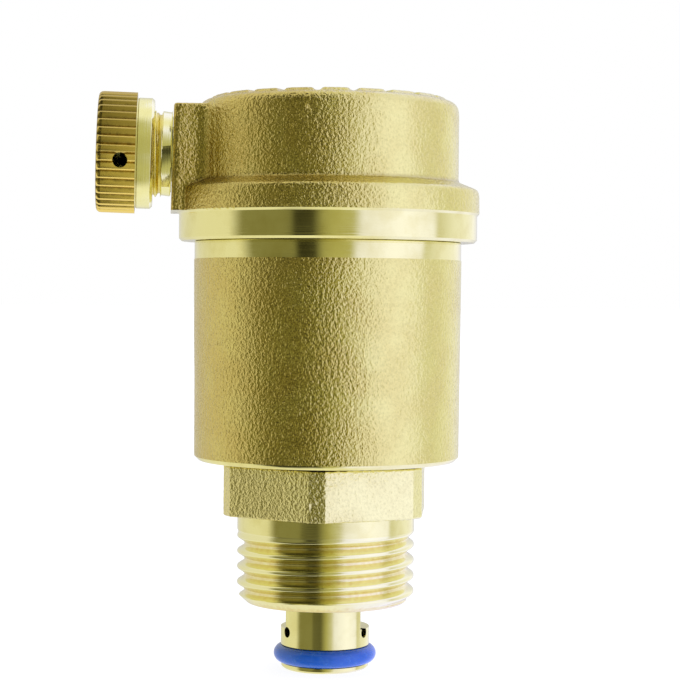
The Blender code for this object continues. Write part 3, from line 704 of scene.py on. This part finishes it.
def paint(obj, finishes, choose=None):
    """Gives the faces their finishes. choose(centres, normals) returns each face's number in the list,
    which is 0 without it."""
    mesh = obj.data
    mesh.materials.clear()
    for finish in finishes:
        mesh.materials.append(finish)
    index = np.zeros(len(mesh.polygons), np.int32)
    if choose is not None:
        index[:] = choose(vectors(mesh.polygons, "center"), vectors(mesh.polygons, "normal"))
    mesh.polygons.foreach_set("material_index", index)


def place(obj, body, replaced, sharp=38, at=None, evened=True):
    """Makes the object metres, smooth but for its sharp edges, and part of a body. Evened shading keeps
    flat faces flat beside narrow ones."""
    obj.data.transform(TO_METRES)
    obj.data.shade_smooth()
    obj.data.set_sharp_from_angle(angle=radians(sharp))
    if evened:
        obj.modifiers.new("evened_normals", "WEIGHTED_NORMAL").keep_sharp = True
    if at is not None:
        obj.matrix_world = Matrix.Translation(at.translation * MM) @ at.to_3x3().to_4x4()
    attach(obj, body)
    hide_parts(*replaced)


def out_of(points):
    """How far the points lie from the Z axis."""
    return np.hypot(points[:, 0], points[:, 1])


# ---------------------------------------------------------------- valve base

def hex_loop():
    """The hexagon's outline with narrow flats on its corners."""
    corner_r = HEX_FLATS / 2 / cos(pi / 6)
    inset = HEX_CORNER_FLAT / 2 / sin(pi / 3)
    turns = [HEX_TURN + k * pi / 3 for k in range(6)]
    corners = [Vector((cos(turn), sin(turn))) * corner_r for turn in turns]
    loop = []
    for k, corner in enumerate(corners):
        for other in (corners[k - 1], corners[(k + 1) % 6]):
            point = corner + (other - corner).normalized() * inset
            loop.append((point.x, point.y, 0.22))
    rounded = outline(loop, closed=True)
    return np.array(spaced([*rounded, rounded[0]], CAST_STEP * 0.9)[:-1])


def hexagon():
    """The cast hexagon with a small edge at its top and bottom and the flaws seen on its sides."""
    loop = hex_loop()
    drawn_in = 1 - HEX_EDGE / 12  # the loop lies about 12 mm out
    heights = np.linspace(HEX_HEIGHT - HEX_EDGE, HEX_EDGE, round(HEX_HEIGHT / CAST_STEP * 1.1))
    rows = [(HEX_HEIGHT, 0.0), (HEX_HEIGHT, drawn_in)]
    rows += [(height, 1.0) for height in heights]
    rows += [(0, drawn_in), (0, 0.0)]
    grid = np.array([[(x * scale, y * scale, height) for x, y in loop] for height, scale in rows])

    def sides(points):
        inwards = np.minimum(points[:, 2], HEX_HEIGHT - points[:, 2])
        return np.clip(inwards / GRAIN_FADE, 0, 1) * (out_of(points) > 11)

    pit = (seen(-1.5, -12.6, 1.9), 0.30, 0.26)
    pit_rim = (seen(-1.2, -12.6, 2.25), 0.22, -0.12)
    dent = (seen(3.6, -11.4, 2.4), 0.25, 0.07)
    return roughen(skin("valve_base_hexagon", grid), sides, [pit, pit_rim, dent])


def pipe_thread():
    """The pipe thread and its plain neck, with a core that reaches up into the hexagon."""
    step = 0.07
    core_top = 1.5
    neck_foot = -PIPE_NECK + 0.1
    chamfer_top = PIPE_END + PIPE_CHAMFER
    top = [(0, core_top), (PIPE_CREST, core_top), (PIPE_CREST, neck_foot)]
    wall = spaced([(PIPE_CREST, neck_foot), (PIPE_CREST + 0.02, chamfer_top)], step)
    end = outline([(PIPE_CREST, chamfer_top), (PIPE_END_R, PIPE_END, 0.12), (0, PIPE_END)])
    tail = spaced([wall[-1], end[1]], step)[1:]
    start = PIPE_END - 0.24 * PIPE_PITCH
    shape = threaded(PIPE_CREST, PIPE_DEPTH, PIPE_PITCH, start / PIPE_PITCH, -PIPE_NECK, 1.0)
    return lathe("pipe_thread", [*top, *wall[1:], *tail, *end[2:]], FINE_COLUMNS, shape=shape)


def valve_base():
    """The hexagon and the pipe thread, bored out for the nipple, the spring and the plunger."""
    made = combine(hexagon(), "UNION", pipe_thread())
    mouth_r, mouth_end = 7.2, -11.05
    chamfer = 0.7
    bore = outline([
        (0, HEX_HEIGHT + chamfer), (SOCKET_R + 2 * chamfer, HEX_HEIGHT + chamfer),
        (SOCKET_R, HEX_HEIGHT - chamfer), (SOCKET_R, SOCKET_FLOOR), (SPRING_BORE_R, SOCKET_FLOOR),
        (SPRING_BORE_R, SPRING_SHELF), (SEAT_R, SPRING_SHELF, 0.08), (SEAT_R, SEAT_FOOT, 0.1),
        (mouth_r, mouth_end), (0, mouth_end),
    ])
    combine(made, "DIFFERENCE", lathe("valve_base_bore", bore, 128))

    def zones(centres, normals):
        radius = out_of(centres)
        hexagonal = (radius > HEX_FLATS / 2 - 0.5) & (np.abs(normals[:, 2]) < 0.8)
        thread = (centres[:, 2] < -PIPE_NECK) & (radius > PIPE_END_R - 0.3)
        return np.where(hexagonal, 0, np.where(thread, 2, 1))

    paint(made, [HEX_BRASS, TURNED, PIPE_BRASS], zones)
    place(made, "base", ["valve_base"], sharp=48)


# ---------------------------------------------------------------- body

def body_wall():
    """The outer wall: a machined band under the cap, the blasted wall and a machined chamfer."""
    top = outline([(0, SHOULDER), (BAND_R, SHOULDER, 0.12), (BAND_R, BAND_FOOT + 0.1)])
    foot = BODY_BOTTOM + BODY_CHAMFER
    foot_r = BODY_R - BODY_DRAFT
    wall = spaced([(BODY_R, BAND_FOOT), (foot_r, foot + 0.02)], CAST_STEP)
    bottom = outline([(foot_r, foot), (foot_r - BODY_CHAMFER, BODY_BOTTOM, 0.1), (0, BODY_BOTTOM)])
    made = lathe("vent_body", [*top, *wall, *bottom], CAST_COLUMNS)

    def blasted(points):
        height = points[:, 2]
        under_band = np.clip((BAND_FOOT + 0.05 - height) / GRAIN_FADE, 0, 1)
        over_foot = np.clip((height - foot) / GRAIN_FADE, 0, 1)
        return under_band * over_foot * (out_of(points) > BAND_R - BODY_DRAFT)

    dent_in_front = (seen(-6.5, -14.0, 8.9), 0.3, 0.05)
    dent_behind = (seen(5.2, 14.6, 20.0), 0.4, 0.06)
    return roughen(made, blasted, [dent_in_front, dent_behind])


def body_nipple():
    """The nipple that screws into the valve base and pushes the plunger open."""
    end = BODY_LOW.z
    chamfer = 0.6
    top = [(0, BODY_BOTTOM + 1.5), (NIPPLE_R, BODY_BOTTOM + 1.5)]
    wall = spaced([(NIPPLE_R, BODY_BOTTOM + 0.6), (NIPPLE_R, end + chamfer)], 0.08)
    tail = spaced([wall[-1], (NIPPLE_R - chamfer, end)], 0.1)[1:]
    shape = threaded(NIPPLE_R, NIPPLE_DEPTH, NIPPLE_PITCH, 0.3, BODY_BOTTOM + 0.2, 0.6)
    return lathe("body_nipple", [*top, *wall, *tail, (0, end)], shape=shape)


def body_collar():
    """The collar that the cap screws onto."""
    rim = BODY_HIGH.z
    chamfer = 0.4
    top = [(0, rim), (COLLAR_R - chamfer, rim)]
    wall = spaced([(COLLAR_R, rim - chamfer), (COLLAR_R, SHOULDER + 0.3)], 0.09)
    foot = [(COLLAR_R, SHOULDER - 1), (0, SHOULDER - 1)]
    shape = threaded(COLLAR_R, 0.5, 1.0, 0.0, rim + 1, 0.6)
    return lathe("body_collar", [*top, *wall, *foot], shape=shape)


def vent_body():
    """The body: wall, nipple and collar, hollowed out, with a recess for the gasket."""
    made = combine(body_wall(), "UNION", body_nipple(), body_collar())
    above, below = 38, BODY_LOW.z - 1
    inside = outline([
        (0, above), (CHAMBER_R, above), (CHAMBER_R, CHAMBER_FLOOR, 1.0),
        (NIPPLE_BORE_R, CHAMBER_FLOOR, 0.3), (NIPPLE_BORE_R, below), (0, below),
    ])
    recess_r, top, bottom = NIPPLE_R + 0.02, 6.6, 5.5
    recess = [(recess_r, top), (GASKET_RECESS_R, top), (GASKET_RECESS_R, bottom), (recess_r, bottom)]
    cutters = [lathe("body_inside", inside, 128), lathe("gasket_recess", recess, ring=True)]
    combine(made, "DIFFERENCE", *cutters)

    def zones(centres, normals):
        radius = out_of(centres)
        height = centres[:, 2]
        blasted = (height < BAND_FOOT + 0.06) & (height > BODY_BOTTOM + BODY_CHAMFER)
        wall = blasted & (radius > BAND_R - 0.4)
        nipple = (height < BODY_BOTTOM + 0.3) & (radius > 6.5) & (radius < NIPPLE_R + 0.01)
        return np.where(wall, 0, np.where(nipple, 2, 1))

    paint(made, [CAST, TURNED, NIPPLE_BRASS], zones)
    place(made, "vent", ["body"], sharp=48)


# ---------------------------------------------------------------- cap

def cap_boss():
    """The outlet boss on the cap's side, with a face square to the outlet."""
    def outer_upright(edge):
        one, other = (vertex.co for vertex in edge.verts)
        return abs(one.z - other.z) > 1 and one.x < -16

    low = (OUTLET_AT.x, -BOSS_HALF_WIDTH, CASTING_FOOT)
    high = (BOSS_ROOT_X, BOSS_HALF_WIDTH, BOSS_TOP)
    made = block("cap_boss", low, high, rounding=0.5, keep=outer_upright)
    slope = OUTWARD.z / -OUTWARD.x
    for vertex in made.data.vertices:
        if vertex.co.x < -14:
            vertex.co.x += (vertex.co.z - OUTLET_AT.z) * slope
    return made


def boss_fillets():
    """Upright fillets that fill the corners between the boss's sides and the cap's wall."""
    corner = Vector((-sqrt(CAP_R**2 - BOSS_HALF_WIDTH**2), BOSS_HALF_WIDTH))
    face = corner - Vector((BOSS_FILLET, 0))
    wall = corner + Vector((corner.y, -corner.x)).normalized() * BOSS_FILLET
    inside = Vector((BOSS_ROOT_X, 3.0))
    middle = (inside + corner) / 2
    loop = [inside, face - Vector((0, 1.5)), *bend(face, corner, wall, 6)]
    top = BOSS_TOP - 0.6
    rows = [(top, 0), (top, 1), (CASTING_FOOT, 1), (CASTING_FOOT, 0)]
    made = []
    for side in (-1, 1):
        grid = np.array([
            [(middle.lerp(p, share).x, side * middle.lerp(p, share).y, height) for p in loop]
            for height, share in rows
        ])
        made.append(skin(f"boss_fillet_{len(made) + 1}", grid))
    return made


def grip_pads():
    """Low radial pads round the edge of the cap's top, wider outwards and smaller at their tops."""
    pads = []
    for k in range(PAD_COUNT):
        low, high = (PAD_START, -1.0, CAP_TOP - 1), (PAD_END, 1.0, CAP_TOP + PAD_HEIGHT)
        pad = block(f"grip_pad_{k + 1}", low, high)
        for vertex in pad.data.vertices:
            x, y, z = vertex.co
            half_width = PAD_INNER_HALF_WIDTH if x < PAD_MIDDLE else PAD_OUTER_HALF_WIDTH
            on_top = z > CAP_TOP
            vertex.co.y = y * half_width * (0.90 if on_top else 1.0)
            if on_top:
                vertex.co.x += (PAD_MIDDLE - x) * 0.2
        turn = 2 * pi * (k + 0.5) / PAD_COUNT + PAD_TURN
        pad.data.transform(Matrix.Rotation(turn, 4, "Z"))
        pads.append(pad)
    return pads


def cap_casting():
    """The rough casting in one blended skin, cut off flat where the machined ring starts."""
    shell = outline([
        (0, CAP_TOP), (CAP_R, CAP_TOP, CAP_SHOULDER), (CAP_R, WALL_FOOT, 0.25),
        (FLANGE_R - 0.15, WALL_FOOT - 0.9, 0.4), (FLANGE_R, FLANGE_EDGE - 0.5), (FLANGE_R, CASTING_FOOT),
        (0, CASTING_FOOT),
    ])
    parts = [lathe("cap_shell", shell, FINE_COLUMNS), cap_boss(), *boss_fillets(), *grip_pads()]
    made = merged("vent_cap", parts)
    applied(made, "skin", "REMESH", mode="VOXEL", voxel_size=CAST_STEP, adaptivity=0)
    applied(made, "soften", "SMOOTH", factor=0.5, iterations=6)

    def above_ring(points):
        return np.clip((points[:, 2] - RING_TOP) / GRAIN_FADE, 0, 1)

    dent = (seen(-2.0, -15.0, 46.1), 0.26, 0.20)
    dent_end = (seen(-1.6, -15.05, 45.7), 0.24, 0.16)
    burr = (seen(-12.0, -9.0, 46.3), 0.30, -0.10)
    roughen(made, above_ring, [dent, dent_end, burr])
    return combine(made, "DIFFERENCE", block("cap_facing", (-25, -25, 30), (25, 25, RING_TOP)))


def cap_ring():
    """The machined ring under the casting."""
    lip_r = FLANGE_R - 0.4
    ring = outline([
        (0, RING_TOP + 0.6), (lip_r, RING_TOP + 0.6), (lip_r, RING_TOP), (FLANGE_R, RING_TOP),
        (RING_R, RING_TOP - 0.27, 0.03), (RING_R, CAP_BOTTOM + 0.3, 0.05),
        (RING_R - 0.3, CAP_BOTTOM, 0.05), (0, CAP_BOTTOM),
    ])
    return lathe("cap_ring", ring, FINE_COLUMNS)


def cap_inside():
    """Cutter for the chamber's top, the seal's seat and the thread's bore with its chamfer."""
    chamfer_r = CAP_THREAD_R + 0.3
    inside = outline([
        (0, CAP_CEILING), (CAP_BORE_R, CAP_CEILING, 1.0), (CAP_BORE_R, CAP_SEAL_SEAT),
        (CAP_THREAD_R, CAP_SEAL_SEAT), (CAP_THREAD_R, CAP_BOTTOM + 0.3), (chamfer_r, CAP_BOTTOM - 0.1),
        (chamfer_r, CAP_BOTTOM - 1), (0, CAP_BOTTOM - 1),
    ])
    return lathe("cap_inside", inside, 160)


def vent_cap():
    """The cap: casting, machined ring and inner boss, hollowed out and bored for the nozzle."""
    made = cap_casting()
    combine(made, "UNION", cap_ring())
    combine(made, "DIFFERENCE", cap_inside())
    combine(made, "UNION", block("inner_boss", *INNER_BOSS, OUTLET))
    outlet_bore = rod("outlet_bore", OUTLET_BORE_R, -7, 2, OUTLET)
    spot_face = rod("spot_face", SPOT_FACE_R, -0.05, 2, OUTLET, 128)
    combine(made, "DIFFERENCE", outlet_bore, spot_face)

    def zones(centres, normals):
        machined = centres[:, 2] < RING_TOP + 0.02
        facing = (normals @ np.array(OUTWARD) > 0.999) & (centres[:, 0] < OUTLET_AT.x + 0.3)
        return np.where(machined | facing, 1, 0)

    # the cap's hollows get painted shade
    paint_hollow_shade(made, SHADED_HOLLOW_REACH)
    paint(made, [CAST, TURNED], zones)
    place(made, "vent", ["cap"], sharp=48, evened=False)


# ---------------------------------------------------------------- outlet nozzle and knob

def outlet_nozzle():
    """The nozzle: nose, fine thread, collar, shank and jet, with a bore through it all."""
    neck_r = STUB_R - 0.45
    land_r = STUB_R - 0.4
    nose = outline([
        (NOZZLE_BORE_R, NOZZLE_TIP), (1.7, NOZZLE_TIP, 0.05), (2.3, NOZZLE_TIP - 0.6, 0.05),
        (2.3, STUB_END), (land_r, STUB_END),
    ])
    thread = spaced([(STUB_R, STUB_END - 0.4), (STUB_R, 1.75)], 0.035)
    back = outline([
        (neck_r, 1.55), (neck_r, NOZZLE_COLLAR_FRONT), (NOZZLE_COLLAR_R, NOZZLE_COLLAR_FRONT, 0.14),
        (NOZZLE_COLLAR_R, NOZZLE_COLLAR_BACK, 0.12), (land_r, NOZZLE_COLLAR_BACK),
        (land_r, NOZZLE_COLLAR_BACK + 0.25), (SHANK_R, NOZZLE_COLLAR_BACK + 0.25), (SHANK_R, SHANK_END),
        (JET_R, SHANK_END), (JET_R, JET_END, 0.1), (0.6, JET_END), (0.6, JET_END + 1.0),
        (NOZZLE_BORE_R, JET_END + 1.3),
    ])
    shape = threaded(STUB_R, STUB_DEPTH, STUB_PITCH, 0.2, 99, 1)
    made = lathe("outlet_nozzle_turned", [*nose, *thread, *back], ring=True, shape=shape)

    def zones(centres, normals):
        height = centres[:, 2]
        stub = (out_of(centres) > 4.5) & (height > NOZZLE_COLLAR_FRONT + 0.02) & (height < STUB_END)
        return np.where(stub, 1, 0)

    paint(made, [NOZZLE_BRASS, STUB_BRASS], zones)
    place(made, "vent", ["outlet_nozzle"], at=OUTLET)


def knurled(radius, angle, height):
    """Rounded ridges between narrow grooves, where the outline is at the knurl's own radius."""
    groove = KNURL_DEPTH * (1 - np.abs(np.cos(KNURL_COUNT / 2 * angle)))
    return radius - groove * np.clip((radius - KNOB_COLLAR_R - 0.1) / 0.4, 0, 1)


def vent_knob():
    """The knob: knurled head, smooth collar, hollow for the nozzle and a hole through its side."""
    undercut_r = KNOB_COLLAR_R - 0.08
    face = KNOB_END - 0.10
    chamfer = 0.28
    floor_at = 7.5
    points = outline([
        (0, face), (4.6, face), (4.9, KNOB_END), (KNOB_R, KNOB_END, 0.62), (KNOB_R, KNOB_STEP),
        (undercut_r, KNOB_STEP), (undercut_r, KNOB_STEP - 0.14), (KNOB_COLLAR_R, KNOB_STEP - 0.22),
        (KNOB_COLLAR_R, KNOB_START + chamfer, 0.06), (KNOB_COLLAR_R - chamfer, KNOB_START, 0.06),
        (KNOB_BORE_R + 0.3, KNOB_START), (KNOB_BORE_R, KNOB_START + 0.3), (KNOB_BORE_R, floor_at),
        (0, floor_at),
    ])
    made = lathe("vent_knob", points, KNURL_COUNT * 14, shape=knurled)
    sideways = Matrix.Rotation(KNOB_HOLE_TURN, 4, "Z") @ Matrix.Rotation(pi / 2, 4, "Y")
    hole_at = Matrix.Translation((0, 0, KNOB_HOLE_AT)) @ sideways
    combine(made, "DIFFERENCE", rod("knob_hole", KNOB_HOLE_R, 3, 9, hole_at, 40))

    def zones(centres, normals):
        knurl = (centres[:, 2] > KNOB_STEP - 0.01) & (out_of(centres) > KNOB_COLLAR_R + 0.05)
        return np.where(knurl, 1, 0)

    paint(made, [NOZZLE_BRASS, KNURL_BRASS], zones)
    place(made, "knob", ["knob"], sharp=30, at=OUTLET)


# ---------------------------------------------------------------- plunger

def plunger_stem():
    """The plunger: a hollow stem, a guide with flats, ports, the O-ring's groove and the foot."""
    groove_top = RING_HIGH.z + 0.05
    groove_bottom = RING_LOW.z - 0.05
    low, high = PLUNGER_LOW.z, PLUNGER_HIGH.z
    points = outline([
        (0, STEM_BORE_END), (STEM_BORE_R, STEM_BORE_END), (STEM_BORE_R, high), (STEM_R, high, 0.12),
        (STEM_R, CLIP_GROOVE_HIGH), (CLIP_GROOVE_R, CLIP_GROOVE_HIGH), (CLIP_GROOVE_R, CLIP_GROOVE_LOW),
        (STEM_R, CLIP_GROOVE_LOW), (STEM_R, GUIDE_TOP + 0.6, 0.1), (GUIDE_R, GUIDE_TOP, 0.1),
        (GUIDE_R, groove_top, 0.08), (RING_GROOVE_R, groove_top), (RING_GROOVE_R, groove_bottom),
        (FOOT_R, groove_bottom, 0.06), (FOOT_R, low + 0.25, 0.08), (FOOT_R - 0.3, low, 0.08), (0, low),
    ])
    made = lathe("plunger_turned", points, 160)
    for k, flat in enumerate(GUIDE_FLATS):
        turn = Matrix.Rotation(CAMERA_TURN + pi * k, 4, "Z")
        cutter = block(f"guide_flat_{k + 1}", (flat, -6, GUIDE_FLAT_FOOT), (7, 6, -9.6), turn)
        combine(made, "DIFFERENCE", cutter)
    level = Matrix.Translation((0, 0, PORT_HEIGHT)) @ Matrix.Rotation(pi / 2, 4, "Y")
    for k in range(PORT_COUNT):
        port = Matrix.Rotation(radians(PORT_DEGREES + 360 / PORT_COUNT * k), 4, "Z") @ level
        combine(made, "DIFFERENCE", rod(f"plunger_port_{k + 1}", PORT_R, 2, 7, port, 32))
    paint(made, [TURNED])
    place(made, "plunger", ["plunger"])


def o_ring():
    """The O-ring, a round cord in the plunger's groove."""
    cord_r = (RING_HIGH.z - RING_LOW.z) / 2
    middle_r = RING_HIGH.x - cord_r
    height = (RING_HIGH.z + RING_LOW.z) / 2
    angles = np.linspace(0, 2 * pi, 28, endpoint=False)
    section = [(middle_r + cord_r * sin(angle), height + cord_r * cos(angle)) for angle in angles]
    made = lathe("plunger_ring", section, 160, ring=True)
    paint(made, [BLUE])
    place(made, "plunger", ["plunger_o_ring"])


def plunger_spring():
    """The spring, whose ends sit on the base's shelf and under the clip."""
    low = SPRING_SHELF + SPRING_WIRE_R + SPRING_GAP
    high = SPRING_TOP - SPRING_WIRE_R - SPRING_GAP
    wire = circle(SPRING_WIRE_R, 12)
    made = coil("plunger_coil", SPRING_R, 0, 2 * pi * SPRING_TURNS, low, high, wire, 160)
    paint(made, [STEEL])
    made.data.transform(TO_METRES)
    made.data.shade_smooth()
    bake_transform(made)
    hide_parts("plunger_spring")


def plunger_clip():
    """A snap ring of rectangular section with a gap."""
    low, high = box_mm("plunger_clip")
    outer_r = high.x
    half_wide, half_thick = (outer_r - CLIP_INNER_R) / 2, (high.z - low.z) / 2
    quarters = ((1, 1), (1, -1), (-1, -1), (-1, 1))
    section = outline([(a * half_wide, b * half_thick, 0.1) for a, b in quarters], closed=True)
    middle_r, height = (CLIP_INNER_R + outer_r) / 2, (high.z + low.z) / 2
    gap = asin(CLIP_GAP / 2 / outer_r)
    made = coil("plunger_snap_ring", middle_r, gap, 2 * pi - gap, height, height, section, 96)
    paint(made, [STEEL])
    place(made, "plunger", ["plunger_clip"])


# ---------------------------------------------------------------- washers and seals

def washer(name, node_name, inner, rounding, finish, body, at=None, rim=None):
    """A flat ring with softened edges, in the space of its node. In a frame at it is given its rim."""
    if at is None:
        low, high = box_mm(node_name)
        bottom, top, outer = low.z, high.z, high.x
    else:
        corners = [vertex.co / MM for vertex in frame["nodes"][node_name].data.vertices]
        heights = [(at.inverted() @ corner).z for corner in corners]
        bottom, top, outer = min(heights), max(heights), rim
    corners = [(inner, top), (outer, top), (outer, bottom), (inner, bottom)]
    section = outline([(*corner, rounding) for corner in corners], closed=True)
    made = lathe(name, section, 160, ring=True)
    paint(made, [finish])
    place(made, body, [node_name], at=at)


# ---------------------------------------------------------------- inner pieces kept from the frame

def soften(node_name, finish):
    """Rounds the edges of a carried-over node and gives it its finish."""
    obj = frame["nodes"][node_name]
    obj.data.materials.clear()
    obj.data.materials.append(finish)
    weld = obj.modifiers.new("weld", "WELD")
    weld.merge_threshold = 0.002 * MM
    bevel = obj.modifiers.new("edges", "BEVEL")
    bevel.width = 0.12 * MM
    bevel.segments = 2
    bevel.limit_method = "ANGLE"
    bevel.angle_limit = radians(35)


# ---------------------------------------------------------------- stage, light and camera

def floor():
    """A pale floor that glows a little, so that it stays white, and that the brass doesn't mirror."""
    low = CAD_BOX[0].z / MM
    made = block("floor", (-6000, -6000, low - 20), (6000, 6000, low - 0.02))
    made.data.transform(TO_METRES)
    finish, _, shader, _ = material("pale_floor", Roughness=0.9, Emission_Strength=0.90)
    shader.inputs["Base Color"].default_value = (0.16, 0.16, 0.16, 1)
    shader.inputs["Emission Color"].default_value = (1, 1, 1, 1)
    made.data.materials.append(finish)
    made.visible_glossy = False
    made.visible_shadow = False


def tent_ramp(tree, around, stops):
    """Light round the tent. A stop is (degrees to the right of the camera's side, brightness, tint)."""
    return ramp(tree, around, [
        ((degrees + 180) / 360, tuple(level * c for c in tint)) for degrees, level, tint in stops
    ])


def tent_light(tree, direction):
    """A light tent: pale on the left, brighter on the right, with a dark opening where the camera is."""
    inputs = {"Vector": direction, "Angle": -CAMERA_TURN}
    aligned = node(tree, "VectorRotate", inputs, rotation_type="Z_AXIS")[0]
    x, y, z = node(tree, "SeparateXYZ", {"Vector": aligned})
    turn = calc(tree, "ARCTAN2", x, calc(tree, "MULTIPLY", y, -1.0))
    aside = calc(tree, "ABSOLUTE", turn)
    rise = calc(tree, "ARCSINE", z)
    around = spread(tree, turn, -pi, pi, 0, 1)
    walls = tent_ramp(tree, around, [
        (-180, 0.62, CREAM), (-160, 0.78, CREAM), (-110, 0.86, CREAM), (-80, 0.86, CREAM),
        (-68, 0.25, OLIVE), (-29, 0.25, OLIVE), (-24, 0.035, OLIVE), (-11, 0.055, OLIVE),
        (-3, 0.40, OLIVE), (6, 0.48, OLIVE), (20, 0.50, OLIVE), (27, 1.0, COOL), (60, 1.18, COOL),
        (88, 1.08, COOL), (93, 0.72, CREAM), (112, 0.95, PALE), (150, 1.08, PALE), (180, 0.62, CREAM),
    ])
    low_front = tent_ramp(tree, around, [
        (-80, 0.86, CREAM), (-66, 0.20, OLIVE), (-10, 0.12, OLIVE), (4, 0.46, OLIVE), (17, 0.66, CREAM),
        (26, 1.0, COOL),
    ])
    ends = tent_ramp(tree, around, [
        (-82, 0.90, CREAM), (-66, 0.05, OLIVE), (-11, 0.04, OLIVE), (0, 0.50, OLIVE), (14, 0.55, OLIVE),
        (27, 1.05, COOL),
    ])

    def within(value, start, end):
        return spread(tree, value, radians(start), radians(end), 0, 1)

    under_camera = calc(tree, "MULTIPLY", within(aside, 34, 30), within(rise, -3.5, -6))
    colour = mixed(tree, under_camera, walls, low_front)
    colour = mixed(tree, within(rise, 18, 42), colour, ends)
    colour = mixed(tree, within(rise, -12, -34), colour, ends)
    steep = within(calc(tree, "ABSOLUTE", rise), 62, 80)
    return mixed(tree, steep, colour, tuple(0.95 * c for c in CREAM))


def studio_world():
    """The tent's light on the object, with plain white behind it."""
    world = bpy.data.worlds.new("studio")
    bpy.context.scene.world = world
    world.use_nodes = True
    tree = world.node_tree
    tree.nodes.clear()
    light = tent_light(tree, node(tree, "TexCoord")["Generated"])
    by_camera = node(tree, "LightPath")["Is Camera Ray"]
    shown = mixed(tree, by_camera, light, (1, 1, 1))
    background = node(tree, "Background", {"Color": shown, "Strength": 1.0})[0]
    node(tree, "OutputWorld", {"Surface": background})


def soft_light(name, at, target, size, power):
    """A square softbox of that size in metres, which the brass doesn't mirror."""
    data = bpy.data.lights.new(name, "AREA")
    data.size = size
    data.energy = power
    made = new_object(name, data)
    made.location = Vector(at) * MM
    aim = Vector(target) * MM - made.location
    made.rotation_mode = "QUATERNION"
    made.rotation_quaternion = aim.to_track_quat("-Z", "Y")
    made.visible_glossy = False


def camera():
    """The camera, about level with the middle of the chamber."""
    data = bpy.data.cameras.new("camera")
    data.lens = CAMERA_LENS
    data.sensor_width = 36
    data.clip_start, data.clip_end = 0.01, 50
    made = new_object("camera", data)
    tilt = Matrix.Rotation(pi / 2 - CAMERA_PITCH, 4, "X") @ Matrix.Rotation(CAMERA_ROLL, 4, "Z")
    turned = Matrix.Rotation(CAMERA_TURN, 4, "Z") @ tilt
    made.matrix_world = Matrix.Translation(seen(*CAMERA_AT) * MM) @ turned
    bpy.context.scene.camera = made


camera()
studio_world()
floor()
soft_light("top_softbox", (0, 100, 700), (0, 0, 20), 0.5, 2.0)
bpy.context.scene.view_settings.view_transform = "Standard"

valve_base()
vent_body()
vent_cap()
outlet_nozzle()
vent_knob()
plunger_stem()
o_ring()
plunger_spring()
plunger_clip()
washer("gasket_washer", "base_gasket", 8.7, 0.12, FIBRE, "riser")
washer("cap_joint_ring", "cap_seal", 13.85, 0.15, BLACK, "vent")
washer("nozzle_washer", "nozzle_seal", 3.3, 0.06, FIBRE, "vent", OUTLET, rim=4.4)
for name in ("lever_bracket", "lever_pin", "link_pin"):
    soften(name, STEEL)
for name in ("lever", "float_shell", "float_lid"):
    soften(name, PLASTIC)
for name in ("knob_seal", "lever_pad"):
    soften(name, BLACK)
soften("bracket_nut", NOZZLE_BRASS)
